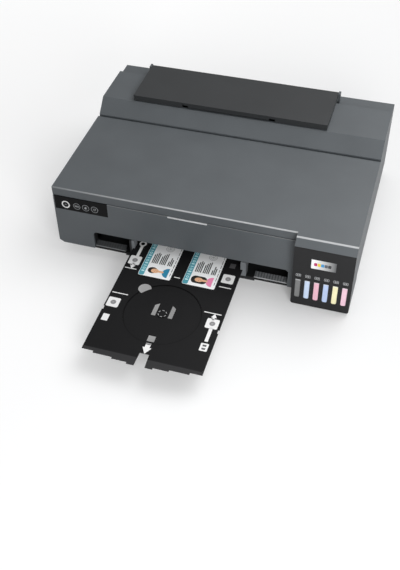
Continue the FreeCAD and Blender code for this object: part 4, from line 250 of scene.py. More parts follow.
# The ridges of the lid and of the bay carry a painted highlight along their rounding,
# pale where the light catches them, least at the left. Right of the step, on the bay, the
# ridge stands further forward.
RIDGE_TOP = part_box("printer_cover")[1][2]
LID_RIDGE, BAY_RIDGE = -0.0585, -0.0671
STEP_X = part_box("tank_front_panel")[0][0]
RIDGE_HIGHLIGHT, RIDGE_LINE = (0.42, 0.43, 0.44, 1), (0.0022, 0.0012)
HIGHLIGHT_LEFT, HIGHLIGHT_RIGHT, HIGHLIGHT_LEAST = -0.26, -0.03, 0.28
casing = moulded("grained_casing", CASING_GREY, CASING_ROUGHNESS)
x, y, z = axes_of(casing)
shift = product(casing, sums(casing, "GREATER_THAN", x, STEP_X), BAY_RIDGE - LID_RIDGE)
behind = sums(casing, "SUBTRACT", sums(casing, "SUBTRACT", y, LID_RIDGE), shift)
off_ridge = distance(casing, behind, sums(casing, "SUBTRACT", z, RIDGE_TOP))
highlight_share = ramp(casing, x, HIGHLIGHT_LEFT, HIGHLIGHT_RIGHT, HIGHLIGHT_LEAST)
tinged(casing, RIDGE_HIGHLIGHT, product(casing, ramp(casing, off_ridge, *RIDGE_LINE), highlight_share))
dress(casing, "printer_cover", "main_housing", "rear_cover", "tank_housing")

# Painted shade: the front panel is painted dark inside the slot's tunnel, where little
# light comes.
FACE_DEPTH, SLOT_CEILING = -0.0612, 0.0586
TUNNEL_SHADE, TUNNEL_FADE = (0.014, 0.0145, 0.015, 1), 0.002
tunnel = moulded("front_casing", CASING_GREY, CASING_ROUGHNESS)
_, y, z = axes_of(tunnel)
tinged(tunnel, TUNNEL_SHADE, product(tunnel, ramp(tunnel, y, FACE_DEPTH, FACE_DEPTH + TUNNEL_FADE),
                                     sums(tunnel, "LESS_THAN", z, SLOT_CEILING)))
dress(tunnel, "front_panel")

# ---------------------------------------------------------------- base and output trays
# Black ABS with a matte grain: the lower case, both output stages with the grooved
# lips in the corners of the slot, and the folding paper support.
BASE_BLACK = (0.028, 0.029, 0.031, 1)
STAGE_BLACK_AND_SHADE, STAGE_FACE = (0.011, 0.0115, 0.012, 1), 0.00012
SUPPORT_BLACK = (0.032, 0.034, 0.036, 1)
LEDGE_GREY, GROOVE_SHADE = (0.14, 0.147, 0.153, 1), (0.072, 0.076, 0.080, 1)
LIP_EDGE, LIP_EDGE_FADE, LIP_EDGE_HIGHLIGHT = -0.0611, 0.0005, (0.42, 0.43, 0.44, 1)
LIP_FOOT, LIP_MIDDLE, LIP_INNER = 0.02505, 0.0193, 0.1103
GROOVE_PITCH, GROOVE_SHARE = 0.0046, 0.42
LEFT_FADE = 0.6

dress(moulded("matte_base", BASE_BLACK, roughness=0.55, shine=0.3), "base_case",
      "output_tray_extension")
dress(moulded("matte_support", SUPPORT_BLACK, roughness=0.45, shine=0.4), "paper_support",
      "paper_support_leaf")

# The stage is black ABS, painted darker still as the shade inside the slot. The lips are
# paler, with their grooves painted darker as shade and a painted highlight along their
# front edge. All of it is fainter on the left lip.
ledge = moulded("grooved_ledge", STAGE_BLACK_AND_SHADE, roughness=0.42, shine=0.25)
x, y, z = axes_of(ledge)
from_middle = sums(ledge, "ABSOLUTE", sums(ledge, "ADD", x, LIP_MIDDLE))
on_lip = product(ledge, sums(ledge, "GREATER_THAN", z, LIP_FOOT),
                 sums(ledge, "GREATER_THAN", from_middle, LIP_INNER))
across_groove = sums(ledge, "FRACT", sums(ledge, "DIVIDE", x, GROOVE_PITCH))
groove = sums(ledge, "LESS_THAN", across_groove, GROOVE_SHARE)
front_edge_highlight = ramp(ledge, y, LIP_EDGE, LIP_EDGE - LIP_EDGE_FADE)
on_left = sums(ledge, "LESS_THAN", x, 0)
fainter = sums(ledge, "MULTIPLY_ADD", on_left, -LEFT_FADE, 1.0)
tinged(ledge, LEDGE_GREY, on_lip)
tinged(ledge, GROOVE_SHADE, product(ledge, on_lip, groove, fainter))
tinged(ledge, STAGE_BLACK_AND_SHADE, product(ledge, on_left, LEFT_FADE))
tinged(ledge, LIP_EDGE_HIGHLIGHT, product(ledge, on_lip, front_edge_highlight, fainter))
tinged(ledge, STAGE_BLACK_AND_SHADE, sums(ledge, "LESS_THAN", y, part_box("output_tray")[0][1] + STAGE_FACE))
dress(ledge, "output_tray")

# ---------------------------------------------------------------- control strip and keys
# A piano-black inlay with four keys. The signs are pad prints, and the power key has a
# broad light ring round a short bar.
STRIP_BLACK = (0.007, 0.007, 0.0075, 1)
KEY_BLACK = (0.011, 0.011, 0.012, 1)
SIGN_WHITE, SIGN_GREY = (0.78, 0.78, 0.78, 1), (0.34, 0.35, 0.36, 1)
POLISHED, SATIN = 0.00001, 0.00002
PRINT_THICK, PRINT_GAP = 0.00006, 0.00001
PANEL_RUN, PANEL_RISE = 6, 115
LEAN = math.atan2(PANEL_RUN, PANEL_RISE)
KEY_SIDES, CORNER_FLATS, TRIANGLE = 64, 5, 3
SIGN_BAR, SIGN_LINE, SIGN_PITCH, SIGN_CORNER = 0.0076, 0.0006, 0.0011, 0.0001
DROP_ROUND = (0.0019, (-0.0002, -0.0006))
DROP_POINT = (0.0017, (0.0004, 0.0014), TRIANGLE, math.radians(60))
TURN_RING = (0.0021, 0.0014)
TURN_HEAD = (0.0014, (0.0016, 0.0012), TRIANGLE, math.radians(-90))


def print_ink(name, colour, roughness=0.5, drift=0.06):
    """Smooth printed or polished coat."""
    return moulded(name, colour, roughness, grain_depth=POLISHED, drift=drift)


dress(moulded("gloss_strip", STRIP_BLACK, roughness=0.14, grain_depth=POLISHED, shine=0.1),
      "control_panel")
dress(moulded("satin_keys", KEY_BLACK, roughness=0.3, grain_depth=SATIN, shine=0.15),
      "power_button", "panel_button_1", "panel_button_2", "panel_button_3")
white_print = print_ink("white_print", SIGN_WHITE, drift=0.02)
grey_print = print_ink("grey_print", SIGN_GREY, drift=0.03)


def bar(width, height, centre=(0, 0), corner=0.0):
    """Flat bar on the drawing plane, with round corners where one is asked for."""
    middle = (centre[0], centre[1], 0)
    nothing_selected()
    bpy.ops.mesh.primitive_plane_add(size=1, location=middle)
    bpy.ops.object.mode_set(mode="EDIT")
    bpy.ops.mesh.select_all(action="SELECT")
    bpy.ops.transform.resize(value=(width, height, 1), center_override=middle)
    if corner:
        bpy.ops.mesh.bevel(offset=corner, segments=CORNER_FLATS, affect="VERTICES")
    bpy.ops.object.mode_set(mode="OBJECT")
    return bpy.context.object


def disc(radius, centre=(0, 0), sides=KEY_SIDES, turn=0.0):
    """Flat round, or a triangle or other regular shape with fewer sides."""
    nothing_selected()
    bpy.ops.mesh.primitive_circle_add(vertices=sides, radius=radius, fill_type="NGON",
                                      location=(centre[0], centre[1], 0), rotation=(0, 0, turn))
    return bpy.context.object


def hollowed(piece, line):
    """Leaves only a border of a flat piece: its face is inset and its middle taken out."""
    bpy.ops.object.mode_set(mode="EDIT")
    bpy.ops.mesh.select_all(action="SELECT")
    bpy.ops.mesh.inset(thickness=line)
    bpy.ops.mesh.delete(type="FACE")
    bpy.ops.object.mode_set(mode="OBJECT")
    return piece


def ring(outer, inner, centre=(0, 0), sides=KEY_SIDES):
    """Flat ring."""
    return hollowed(disc(outer, centre, sides), outer - inner)


def printed(name, parts, material, place, body, thick=PRINT_THICK):
    """Joins flat parts into one print, gives it its thickness and puts it in its place."""
    nothing_selected()
    for part in parts:
        part.select_set(True)
    bpy.context.view_layer.objects.active = parts[0]
    if len(parts) > 1:
        bpy.ops.object.join()
    piece = bpy.context.object
    piece.name = name
    bpy.ops.object.transform_apply(location=True, rotation=True, scale=True)
    coat = piece.modifiers.new("coat", "SOLIDIFY")
    coat.thickness = thick
    coat.offset = 1
    bpy.ops.object.modifier_apply(modifier="coat")
    piece.data.transform(place)
    piece.data.materials.append(material)
    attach(piece, body)
    return piece


def on_front(x, z, proud):
    """Place on the leaning front: the drawing plane's Y goes up it, and its Z comes out."""
    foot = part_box("front_panel")[0]
    up = Vector((0, math.sin(LEAN), math.cos(LEAN)))
    out = Vector((0, -math.cos(LEAN), math.sin(LEAN)))
    rise = z - foot[2]
    centre = Vector((x, foot[1] + rise * math.tan(LEAN), z)) + out * proud
    axes = Matrix(((1, 0, 0), up, out)).transposed().to_4x4()
    return Matrix.Translation(centre) @ axes


def key_centre(node):
    """Middle of a key's box, as seen from the front."""
    low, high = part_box(node)
    return (low[0] + high[0]) / 2, (low[2] + high[2]) / 2


def stacked_bars():
    """Sign of the first round key: three level bars."""
    return [bar(SIGN_BAR, SIGN_LINE, (0, row * SIGN_PITCH), SIGN_CORNER) for row in (-1, 0, 1)]


def drop():
    """Sign of the second round key: a round with a point on its top."""
    return [disc(*DROP_ROUND), disc(*DROP_POINT)]


def turning_ring():
    """Sign of the third round key: a ring with an arrow head on it."""
    return [ring(*TURN_RING), disc(*TURN_HEAD)]


KEY_PROUD = 0.0003 + PRINT_GAP
POWER_RING, POWER_BORE = 0.0071, 0.0051
POWER_BAR, POWER_LINE, POWER_CORNER = 0.0034, 0.0008, 0.0002
KEY_RING, KEY_RING_BORE = 0.0061, 0.0055
SIGNS = {1: stacked_bars, 2: drop, 3: turning_ring}
power_place = on_front(*key_centre("power_button"), KEY_PROUD)
printed("power_ring", [ring(POWER_RING, POWER_BORE)], white_print, power_place, "power_key")
printed("power_sign", [bar(POWER_BAR, POWER_LINE, corner=POWER_CORNER)], grey_print,
        power_place, "power_key")
for number, sign in SIGNS.items():
    key_place = on_front(*key_centre(f"panel_button_{number}"), KEY_PROUD)
    printed(f"key_ring_{number}", [ring(KEY_RING, KEY_RING_BORE)], grey_print, key_place,
            f"key_{number}")
    printed(f"key_sign_{number}", sign(), grey_print, key_place, f"key_{number}")

# ---------------------------------------------------------------- seam edge and grip
# The panel's upper edge is chamfered along the seam under the lid; thin pale strips on
# the front are a painted highlight where that chamfer catches the light. In the finger scoop
# lies a satin silver bar, half round in section, that shows where to lift the lid; its pale
# silver is partly a painted highlight where light catches the scoop's lower lip.
PANEL_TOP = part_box("front_panel")[1][2]
EDGE_HEIGHT, EDGE_END, EDGE_HIGHLIGHT = 0.0010, 0.001, (0.21, 0.22, 0.225, 1)
GRIP_LEFT, GRIP_RIGHT, GRIP_END = -0.0530, 0.0130, 0.0004
GRIP_BACK, GRIP_DROP, GRIP_RADIUS = -0.05925, 0.0019, 0.0013
GRIP_FLATS, GRIP_ROUNDING = 32, 0.0006
GRIP_SILVER_AND_HIGHLIGHT = (0.60, 0.61, 0.62, 1)
# Painted highlight: pale strips along the panel's chamfered upper edge.
edge_highlight_finish = moulded("chamfer_highlight", EDGE_HIGHLIGHT, roughness=0.4)
strip_end, bay_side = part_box("control_panel")[1][0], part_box("front_panel")[1][0]
for side, start, end in (("left", strip_end, GRIP_LEFT), ("right", GRIP_RIGHT, bay_side)):
    printed(f"panel_edge_{side}", [bar(end - start - EDGE_END, EDGE_HEIGHT)], edge_highlight_finish,
            on_front((start + end) / 2, PANEL_TOP - EDGE_HEIGHT / 2, 2 * PRINT_GAP), "printer")

nothing_selected()
bpy.ops.mesh.primitive_cylinder_add(vertices=GRIP_FLATS, radius=GRIP_RADIUS,
                                    depth=GRIP_RIGHT - GRIP_LEFT - 2 * GRIP_END,
                                    location=((GRIP_LEFT + GRIP_RIGHT) / 2, GRIP_BACK,
                                              PANEL_TOP - GRIP_DROP),
                                    rotation=(0, math.pi / 2, 0))
grip = bpy.context.object
grip.name = "grip_bar"
bpy.ops.object.transform_apply(location=True, rotation=True, scale=True)
ends = grip.modifiers.new("ends", "BEVEL")
ends.width, ends.segments = GRIP_ROUNDING, 3
ends.limit_method = "ANGLE"
bpy.ops.object.modifier_apply(modifier="ends")
bpy.ops.object.shade_smooth_by_angle()
# The grip bar's pale silver is partly a painted highlight.
grip.data.materials.append(print_ink("satin_silver_and_highlight", GRIP_SILVER_AND_HIGHLIGHT, roughness=0.28))
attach(grip, "printer")

# ---------------------------------------------------------------- ink bay
# A gloss black front with six level windows. Each clear tank shows its ink through
# a lens in its window; above it is a small outlined tag, and higher up a plain label.
BAY_BLACK = (0.019, 0.019, 0.02, 1)
INKS = ((0.20, 0.202, 0.203), (0.60, 0.72, 0.91), (0.86, 0.49, 0.59), (0.50, 0.62, 0.88),
        (0.95, 0.89, 0.55), (0.87, 0.57, 0.68))
INK_LEVEL, INK_EDGE, INK_DRIFT, SWIRL_SCALE = 0.0565, 0.0008, 0.07, 160
TANK_HAZE, HAZE_SHARE, TANK_ROUGHNESS = (0.75, 0.77, 0.78), 0.55, 0.18
TAG_GREY, CAP_BLACK = (0.46, 0.47, 0.48, 1), (0.05, 0.052, 0.056, 1)
TAG_WIDTH, TAG_HEIGHT, TAG_LINE, TAG_CORNER, TAG_LEVEL = 0.0080, 0.0056, 0.0006, 0.0012, 0.0683
TAG_BAR_WIDTH, TAG_BAR_HEIGHT, TAG_BAR_ASIDE = 0.0014, 0.0026, 0.0013
WINDOW_WIDTH, WINDOW_HEIGHT, WINDOW_MIDDLE = 0.0082, 0.0436, 0.0404
WINDOW_BEZEL, WINDOW_CORNER, BEZEL_PROUD = 0.0016, 0.0034, 0.0003


def tinted_tank(name, ink):
    """Clear tank plastic: the ink's colour up to its level and a pale haze above it."""
    material = finish(name, TANK_ROUGHNESS)
    clouded(material, ink, INK_DRIFT, SWIRL_SCALE)
    haze = [(1 - HAZE_SHARE) * part + HAZE_SHARE * pale for part, pale in zip(ink, TANK_HAZE)]
    tinged(material, haze + [1],
           ramp(material, axes_of(material)["Z"], INK_LEVEL - INK_EDGE, INK_LEVEL + INK_EDGE))
    return material


def on_bay(x, z, proud=PRINT_GAP):
    """Place on the upright front of the ink bay."""
    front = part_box("tank_front_panel")[0][1]
    axes = Matrix(((1, 0, 0), (0, 0, 1), (0, -1, 0))).transposed().to_4x4()
    return Matrix.Translation((x, front - proud, z)) @ axes


def outline(width, height, line, corner):
    """Flat frame with round corners, its line inside the given size."""
    return hollowed(bar(width, height, corner=corner), line)


bay_gloss = moulded("gloss_bay", BAY_BLACK, roughness=0.28, grain_depth=SATIN, shine=0.2)
dress(bay_gloss, "tank_front_panel")
tag_print = print_ink("tag_print", TAG_GREY, drift=0.02)
cap_finish = moulded("satin_caps", CAP_BLACK, roughness=0.4)
for number, ink in enumerate(INKS, 1):
    tank = f"ink_tank_{number}"
    dress(tinted_tank(f"ink_tint_{number}", ink), tank)
    dress(cap_finish, f"ink_cap_{number}")
    low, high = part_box(tank)
    middle = (low[0] + high[0]) / 2
    edges = [outline(TAG_WIDTH, TAG_HEIGHT, TAG_LINE, TAG_CORNER)]
    edges += [bar(TAG_BAR_WIDTH, TAG_BAR_HEIGHT, (side * TAG_BAR_ASIDE, 0)) for side in (-1, 1)]
    printed(f"ink_tag_{number}", edges, tag_print, on_bay(middle, TAG_LEVEL), "printer")
    printed(f"window_bezel_{number}",
            [outline(WINDOW_WIDTH + 2 * WINDOW_BEZEL, WINDOW_HEIGHT + 2 * WINDOW_BEZEL,
                     WINDOW_BEZEL, WINDOW_CORNER + WINDOW_BEZEL)], bay_gloss,
            on_bay(middle, WINDOW_MIDDLE), "printer", BEZEL_PROUD)

# The label is a satin plate in its recess, with a row of plain ink-coloured squares.
LABEL_LEFT, LABEL_RIGHT, LABEL_LOW, LABEL_HIGH = 0.1834, 0.2219, 0.0875, 0.107
LABEL_DEPTH, LABEL_PLAY, LABEL_CORNER = 0.0005, 0.0002, 0.0008
LABEL_WHITE, LABEL_GREY, FADE_START = (0.93, 0.93, 0.93, 1), (0.10, 0.105, 0.11, 1), 0.12
LABEL_ROUGHNESS = 0.3
SQUARE_WIDTH, SQUARE_HEIGHT, SQUARE_LEVEL, SQUARE_CORNER = 0.0048, 0.0062, -0.0004, 0.0010
SQUARES = {"red": (-0.0124, (0.52, 0.02, 0.14, 1)), "yellow": (-0.0070, (0.85, 0.62, 0.04, 1)),
           "blue": (-0.0016, (0.05, 0.30, 0.62, 1)), "grey": (0.0038, (0.10, 0.11, 0.13, 1)),
           "dark": (0.0092, (0.035, 0.036, 0.04, 1))}


def label_fade():
    """Satin label that fades from white at its left end to grey at its right."""
    material = finish("satin_label", LABEL_ROUGHNESS)
    nodes, links = material.node_tree.nodes, material.node_tree.links
    tones = nodes.new("ShaderNodeValToRGB")
    left, right = tones.color_ramp.elements
    left.color, left.position = LABEL_WHITE, FADE_START
    right.color = LABEL_GREY
    links.new(ramp(material, axes_of(material)["X"], LABEL_LEFT, LABEL_RIGHT),
              tones.inputs["Fac"])
    links.new(tones.outputs["Color"], nodes["Principled BSDF"].inputs["Base Color"])
    return material


label_x, label_z = (LABEL_LEFT + LABEL_RIGHT) / 2, (LABEL_LOW + LABEL_HIGH) / 2
printed("bay_label", [bar(LABEL_RIGHT - LABEL_LEFT - LABEL_PLAY,
                          LABEL_HIGH - LABEL_LOW - LABEL_PLAY, corner=LABEL_CORNER)],
        label_fade(), on_bay(label_x, label_z, -LABEL_DEPTH), "printer")
for name, (across, colour) in SQUARES.items():
    printed(f"label_{name}",
            [bar(SQUARE_WIDTH, SQUARE_HEIGHT, (across, SQUARE_LEVEL), SQUARE_CORNER)],
            print_ink(f"label_{name}", colour, roughness=0.4),
            on_bay(label_x, label_z, -LABEL_DEPTH + PRINT_THICK), "printer")

# ---------------------------------------------------------------- carrier tray
# A 2 mm black polystyrene sheet with a paler tapered edge, and painted shade in a dark
# line round its disc seat, where the seat's wall falls. Its white marks are pad prints that
# the printer's sensor reads, or that show which way the tray goes in.
TRAY_BLACK = (0.0098, 0.0098, 0.0105, 1)
TAPER_GREY, TAPER_REACH, TAPER_BLUR = (0.032, 0.032, 0.0335, 1), 0.0142, 0.0004
SEAT_MIDDLE, SEAT_RADIUS = 0.1051, 0.0605
SEAT_WALL_SHADE, RIM_LINE = (0.004, 0.004, 0.0042, 1), (0.0010, 0.0004)
SHEET_GRAIN = 1900
tray_low, tray_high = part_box("disc_tray")
TRAY_MIDDLE = (tray_low[0] + tray_high[0]) / 2
TRAY_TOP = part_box("id_cards")[1][2]
sheet = moulded("tray_sheet", TRAY_BLACK, roughness=0.42, grain_scale=SHEET_GRAIN, shine=0.12)
x, y, _ = axes_of(sheet)
taper_end = tray_low[1] + TAPER_REACH
tinged(sheet, TAPER_GREY, ramp(sheet, y, taper_end + TAPER_BLUR, taper_end - TAPER_BLUR))
from_seat = distance(sheet, sums(sheet, "SUBTRACT", x, TRAY_MIDDLE),
                     sums(sheet, "SUBTRACT", y, tray_low[1] + SEAT_MIDDLE))
off_rim = sums(sheet, "ABSOLUTE", sums(sheet, "SUBTRACT", from_seat, SEAT_RADIUS))
# Painted shade: a dark line round the disc seat, at its wall.
tinged(sheet, SEAT_WALL_SHADE, ramp(sheet, off_rim, *RIM_LINE))
dress(sheet, "disc_tray")


def on_tray(x, y, proud):
    """Place on the tray's top, from the middle of its near edge."""
    return Matrix.Translation((TRAY_MIDDLE + x, tray_low[1] + y, TRAY_TOP + proud))


def tray_mark(name, parts, ink=white_print, place=(0, 0), layer=0):
    """Print on the tray, on top of so many other prints."""
    printed(name, parts, ink, on_tray(*place, layer * PRINT_THICK or PRINT_GAP), "carrier")


def arrow(head, shaft, length, centre, way):
    """Flat arrow that points to way, 1 for away from the near edge and -1 for towards it."""
    x, y = centre
    reach = head / math.sqrt(3)
    tip = disc(reach, (x, y + way * length / 2), TRIANGLE, 0 if way > 0 else math.pi)
    return [tip, bar(shaft, length, (x, y - way * reach / 2))]


pin_grey = moulded("pin_grey", (0.3, 0.3, 0.305, 1), roughness=0.45)
pin_shade = moulded("pin_shade", (0.09, 0.09, 0.092, 1), roughness=0.5)
PAD, PAD_CORNER, PIN_RADIUS, PIN_DOT, DOT_LINE = 0.0196, 0.0024, 0.0046, 0.0024, 0.0006
PADS = {"pad_near_left": (-0.0815, 0.1076), "pad_far_left": (-0.0809, 0.2040),
        "pad_far_right": (0.0773, 0.2033), "pad_near_right": (0.0797, 0.1065)}
for name, place in PADS.items():
    tray_mark(name, [bar(PAD, PAD, corner=PAD_CORNER)], place=place)
    tray_mark(name + "_pin", [disc(PIN_RADIUS)], pin_grey, place, 1)
    tray_mark(name + "_dot", [ring(PIN_DOT + DOT_LINE, PIN_DOT)], pin_shade, place, 2)

LINE = 0.0017
LINES = {"line_near_left": (-0.0779, 0.1277, 0.0264), "line_far_left": (-0.0813, 0.1845, 0.0199),
         "line_middle": (-0.0023, 0.1845, 0.0102), "line_far_right": (0.0776, 0.1842, 0.0196),
         "line_near_right": (0.0748, 0.1270, 0.0275)}
for name, (x, y, length) in LINES.items():
    tray_mark(name, [bar(length, LINE)], place=(x, y))

ARROW_HEAD, ARROW_SHAFT, ARROW_LENGTH = 0.0092, 0.0034, 0.0050
FRAME_PLACE, HOLE_ASIDE = (0.0808, 0.0592), 0.0031
patch_finish = moulded("patch_grey", (0.085, 0.085, 0.088, 1), roughness=0.35)
tray_mark("arrow_near_right",
          arrow(ARROW_HEAD, ARROW_SHAFT, ARROW_LENGTH, (0.0785, 0.1190), 1))
tray_mark("arrow_far_left",
          arrow(ARROW_HEAD, ARROW_SHAFT, ARROW_LENGTH, (-0.0805, 0.1922), -1))
tray_mark("shaft_far_left", [bar(0.0050, 0.0250, (-0.0804, 0.2258))])
tray_mark("eye_far_left", [ring(0.0062, 0.0034, (-0.0812, 0.2440))])
tray_mark("shaft_near_right", [bar(0.0054, 0.0270, (0.0806, 0.0840))])
tray_mark("block_near_left", [bar(0.0102, 0.0136, (-0.0822, 0.0752))])
tray_mark("frame_near_right", [bar(0.0122, 0.0150, FRAME_PLACE, 0.0012)])
tray_mark("frame_holes",
          [bar(0.0058, 0.0034, (FRAME_PLACE[0], FRAME_PLACE[1] + way * HOLE_ASIDE))
           for way in (-1, 1)], pin_shade, layer=1)
tray_mark("patch_far_right", [bar(0.0092, 0.0104, (0.0766, 0.2336))], patch_finish)
tray_mark("pull_arrow", arrow(0.0142, 0.0078, 0.0064, (0.0000, 0.0346), -1))
tray_mark("pull_arrow_tail", [bar(0.0082, 0.0032, (0, 0.0426))], pin_grey)

# Six short pale dashes lie round the hub, where a disc's hole goes.
HUB_PROUD, DASHES = 0.00041, 6
DASH_RADIUS, DASH_LENGTH, DASH_LINE = 0.0063, 0.0036, 0.0012
dashes = []
for k in range(DASHES):
    nothing_selected()
    bpy.ops.mesh.primitive_plane_add(size=1, location=(0, 0, 0))
    dash = bpy.context.object
    dash.scale = (DASH_LENGTH, DASH_LINE, 1)
    angle = 2 * math.pi * (k + 0.5) / DASHES
    dash.location = (DASH_RADIUS * math.cos(angle), DASH_RADIUS * math.sin(angle), 0)
    dash.rotation_euler = (0, 0, angle + math.pi / 2)
    dashes.append(dash)
printed("hub_dashes", dashes, pin_grey, on_tray(0, SEAT_MIDDLE, HUB_PROUD), "carrier")

# ---------------------------------------------------------------- plastic cards
# Two white PVC cards, printed over the whole face: a teal band with a row of pale
# marks, plain bars in place of words, and a small drawn head and shoulders.
CARD_WHITE = (0.93, 0.94, 0.95, 1)
teal_print = print_ink("card_teal", (0.075, 0.34, 0.42, 1), roughness=0.35)
pale_teal_print = print_ink("card_pale_teal", (0.55, 0.82, 0.86, 1), roughness=0.35)
word_print = print_ink("card_bar", (0.005, 0.005, 0.006, 1))
seal_print = print_ink("card_seal", (0.55, 0.56, 0.57, 1))
skin_print = print_ink("drawn_skin", (0.8, 0.46, 0.27, 1))
hair_print = print_ink("drawn_hair", (0.004, 0.0035, 0.0035, 1))
shirt_prints = (print_ink("drawn_blue_shirt", (0.02, 0.24, 0.40, 1)),
                print_ink("drawn_pink_shirt", (0.8, 0.24, 0.42, 1)))
CARD_WIDTH, CARD_LENGTH = 0.054, 0.0856
BAND_WIDTH, BAND_MARGIN, BAND_MIDDLE, BAND_CORNER = 0.0088, 0.0012, 0.0050, 0.0026
MARKS, MARK_MIDDLE, MARK_START, MARK_PITCH = 12, 0.0052, 0.0105, 0.0060
MARK_RING, MARK_BORE, MARK_WIDTH, MARK_CORNER = 0.0024, 0.0013, 0.0050, 0.0006
MARK_THICK, MARK_THIN = 0.0030, 0.0018
WORDS = ((0.0136, (0.0200, 0.0230, 0.0255, 0.0235)), (0.0266, (0.0185, 0.0225, 0.0250, 0.0270)),
         (0.0405, (0.0100, 0.0190, 0.0150)))
WORD_LINE, WORD_PITCH, WORD_START = 0.0017, 0.0028, 0.0306
NOTES, NOTE_LINE, NOTE_COLUMN, NOTE_START, NOTE_PITCH = 7, 0.0009, 0.0512, 0.0120, 0.0098
NOTE_LENGTH, NOTE_STEP = 0.0062, 0.0012
SEAL_MIDDLE, SEAL_RINGS, SEAL_DOT = (0.0330, 0.0690), ((0.0072, 0.0060), (0.0048, 0.0036)), 0.0022
SMALL_SIDES, ROUND_SIDES, DOT_SIDES = 32, 48, 16
PORTRAIT, SHIRT_MIDDLE, SHIRT_RADIUS = 0.0142, 0.0472, 0.0104
FACE_MIDDLE, FACE_LONG, FACE_WIDE = 0.0246, 0.0066, 0.0047
NECK = (0.0100, 0.0042, (0.0342, PORTRAIT), 0.0018)
SHORT_HAIR = (0.0078, 0.0068, (0.0202, PORTRAIT + 0.0006))
LONG_HAIR = (0.0260, 0.0160, (0.0248, PORTRAIT), 0.0070)
EYE_RADIUS, EYE_ASIDE = 0.00045, 0.0019
MOUTH_MIDDLE, MOUTH_LINE, MOUTH_WIDE = 0.0281, 0.0004, 0.0019
card_low, card_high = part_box("id_cards")
CARD_PITCH = card_high[0] - card_low[0] - CARD_WIDTH


def half_round(radius, centre):
    """Flat half round with its straight side towards +X."""
    piece = disc(radius, (0, 0), ROUND_SIDES)
    bpy.ops.object.mode_set(mode="EDIT")
    bpy.ops.mesh.select_all(action="SELECT")
    bpy.ops.mesh.bisect(plane_co=(0, 0, 0), plane_no=(1, 0, 0), clear_outer=True)
    bpy.ops.object.mode_set(mode="OBJECT")
    piece.location = (centre[0], centre[1], 0)
    return piece


def oval(along, across, centre):
    """Flat oval, longer or shorter along the card's width than along its length."""
    piece = disc(across, (0, 0), ROUND_SIDES)
    piece.scale = (along / across, 1, 1)
    piece.location = (centre[0], centre[1], 0)
    return piece


def band_marks():
    """The row on the band: thick and thin bars, with a ring as every third mark."""
    marks = []
    for k in range(MARKS):
        place = (MARK_MIDDLE, MARK_START + MARK_PITCH * k)
        if k % 3 == 1:
            marks.append(ring(MARK_RING, MARK_BORE, place, SMALL_SIDES))
        else:
            marks.append(bar(MARK_WIDTH, MARK_THIN if k % 3 else MARK_THICK, place, MARK_CORNER))
    return marks


def word_bars():
    """Plain bars in place of words: three columns, and short notes along the far edge."""
    words = []
    for first, lengths in WORDS:
        for row, length in enumerate(lengths):
            words.append(bar(WORD_LINE, length,
                             (first + WORD_PITCH * row, WORD_START + length / 2)))
    for k in range(NOTES):
        words.append(bar(NOTE_LINE, NOTE_LENGTH + NOTE_STEP * (k % 3),
                         (NOTE_COLUMN, NOTE_START + NOTE_PITCH * k)))
    return words


def seal():
    """A round seal of two rings and a dot."""
    rings = [ring(outer, inner, SEAL_MIDDLE, ROUND_SIDES) for outer, inner in SEAL_RINGS]
    return rings + [disc(SEAL_DOT, SEAL_MIDDLE, SMALL_SIDES)]


def calm_features():
    """Two dots and a level bar for the drawn face."""
    eyes = [disc(EYE_RADIUS, (FACE_MIDDLE, PORTRAIT + way * EYE_ASIDE), DOT_SIDES)
            for way in (-1, 1)]
    return eyes + [bar(MOUTH_LINE, MOUTH_WIDE, (MOUTH_MIDDLE, PORTRAIT))]


def card_print(number, what, parts, ink, layer=0):
    """Print on a card's face, on top of so many other prints."""
    place = Matrix.Translation((card_low[0] + (number - 1) * CARD_PITCH, card_low[1],
                                TRAY_TOP + PRINT_GAP + layer * PRINT_THICK))
    printed(f"card_{number}_{what}", parts, ink, place, "carrier")


def short_hair():
    """Drawn hair of the first card: an oval round the top of the head."""
    return oval(*SHORT_HAIR)


def long_hair():
    """Drawn hair of the second card: a rounded block down to the shoulders."""
    return bar(*LONG_HAIR)


dress(print_ink("card_white", CARD_WHITE, roughness=0.32, drift=0.02), "id_cards")
for number, (shirt, hair) in enumerate(zip(shirt_prints, (short_hair, long_hair)), 1):
    card_print(number, "band", [bar(BAND_WIDTH, CARD_LENGTH - BAND_MARGIN,
                                    (BAND_MIDDLE, CARD_LENGTH / 2), BAND_CORNER)], teal_print)
    card_print(number, "band_marks", band_marks(), pale_teal_print, 1)
    card_print(number, "bars", word_bars(), word_print)
    card_print(number, "seal", seal(), seal_print)
    card_print(number, "shirt", [half_round(SHIRT_RADIUS, (SHIRT_MIDDLE, PORTRAIT))], shirt)
    card_print(number, "hair", [hair()], hair_print, 1)
    card_print(number, "neck", [bar(*NECK)], skin_print, 2)
    card_print(number, "face", [oval(FACE_LONG, FACE_WIDE, (FACE_MIDDLE, PORTRAIT))], skin_print, 3)
    card_print(number, "features", calm_features(), hair_print, 4)

# ---------------------------------------------------------------- carrier guide
# Blue-grey ABS channel: its two blocks show at the sides of the tray in the slot. Its
# left end is painted dark as shade, deep in the corner of the slot.
GUIDE_GREY, GUIDE_CORNER_SHADE = (0.16, 0.17, 0.18, 1), (0.02, 0.021, 0.022, 1)
CORNER_START, CORNER_END = -0.1160, -0.1180
guide = moulded("guide_shell", GUIDE_GREY, roughness=0.4, shine=0.3)
tinged(guide, GUIDE_CORNER_SHADE, ramp(guide, axes_of(guide)["X"], CORNER_START, CORNER_END))
dress(guide, "tray_guide")

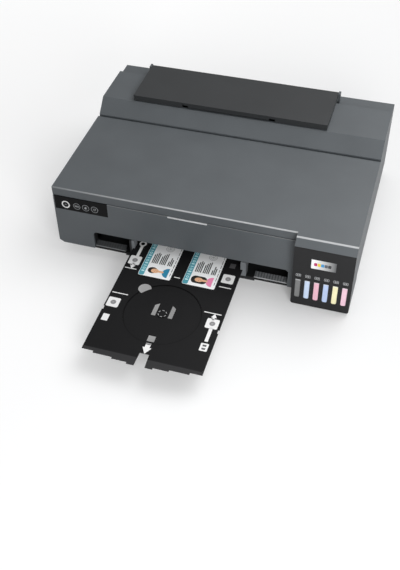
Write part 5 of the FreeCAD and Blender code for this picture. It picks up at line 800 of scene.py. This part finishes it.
# ---------------------------------------------------------------- mechanism
# Ground steel rollers and folded zinc-plated sheet, black glass-filled mouldings, white
# acetal gears and pulleys, rubber tyres, belt and feet, and a green circuit board.
STEEL = (0.55, 0.56, 0.58, 1)
MILL_LINE_DEPTH, MILL_LINE_SCALE, MILL_LINE_STRETCH = 0.00003, 900, (0.04, 1, 1)
FILLED_BLACK, ACETAL_WHITE = (0.022, 0.022, 0.024, 1), (0.7, 0.7, 0.66, 1)
RUBBER_BLACK, RUBBER_GRAIN = (0.03, 0.03, 0.031, 1), 0.0001
BOARD_GREEN, FILM_GREY = (0.02, 0.14, 0.06, 1), (0.4, 0.42, 0.44, 1)
dress(moulded("glass_filled_black", FILLED_BLACK, roughness=0.5), "platen", "pinch_rollers",
      "star_wheels", "carriage", "print_head", "cap_station", "feeder_frame", "hopper",
      "edge_guide", "maintenance_box", "rear_sockets", "power_supply")
dress(moulded("acetal_white", ACETAL_WHITE, roughness=0.35), "feed_gear", "eject_gear",
      "idler_gear", "motor_pinion", "drive_pulley", "idler_pulley")
dress(moulded("soft_rubber", RUBBER_BLACK, roughness=0.75, grain_depth=RUBBER_GRAIN),
      "rubber_feet", "timing_belt", "pick_up_roller", "eject_roller")
dress(moulded("board_green", BOARD_GREEN, roughness=0.3), "main_board")
dress(moulded("encoder_film", FILM_GREY, roughness=0.2), "encoder_strip")


def plated(name, colour, roughness):
    """Metal with fine lines from rolling or grinding, stretched along X."""
    material = moulded(name, colour, roughness, grain_depth=MILL_LINE_DEPTH,
                       grain_scale=MILL_LINE_SCALE)
    nodes, links = material.node_tree.nodes, material.node_tree.links
    nodes["Principled BSDF"].inputs["Metallic"].default_value = 1.0
    stretch = nodes.new("ShaderNodeMapping")
    stretch.inputs["Scale"].default_value = MILL_LINE_STRETCH
    links.new(nodes["Texture Coordinate"].outputs["Object"], stretch.inputs["Vector"])
    links.new(stretch.outputs["Vector"], nodes["grain"].inputs["Vector"])
    return material


dress(plated("zinc_sheet", STEEL, roughness=0.35), "main_frame", "case_screws",
      "carriage_motor", "feed_motor")
dress(plated("ground_steel", STEEL, roughness=0.22), "feed_roller")
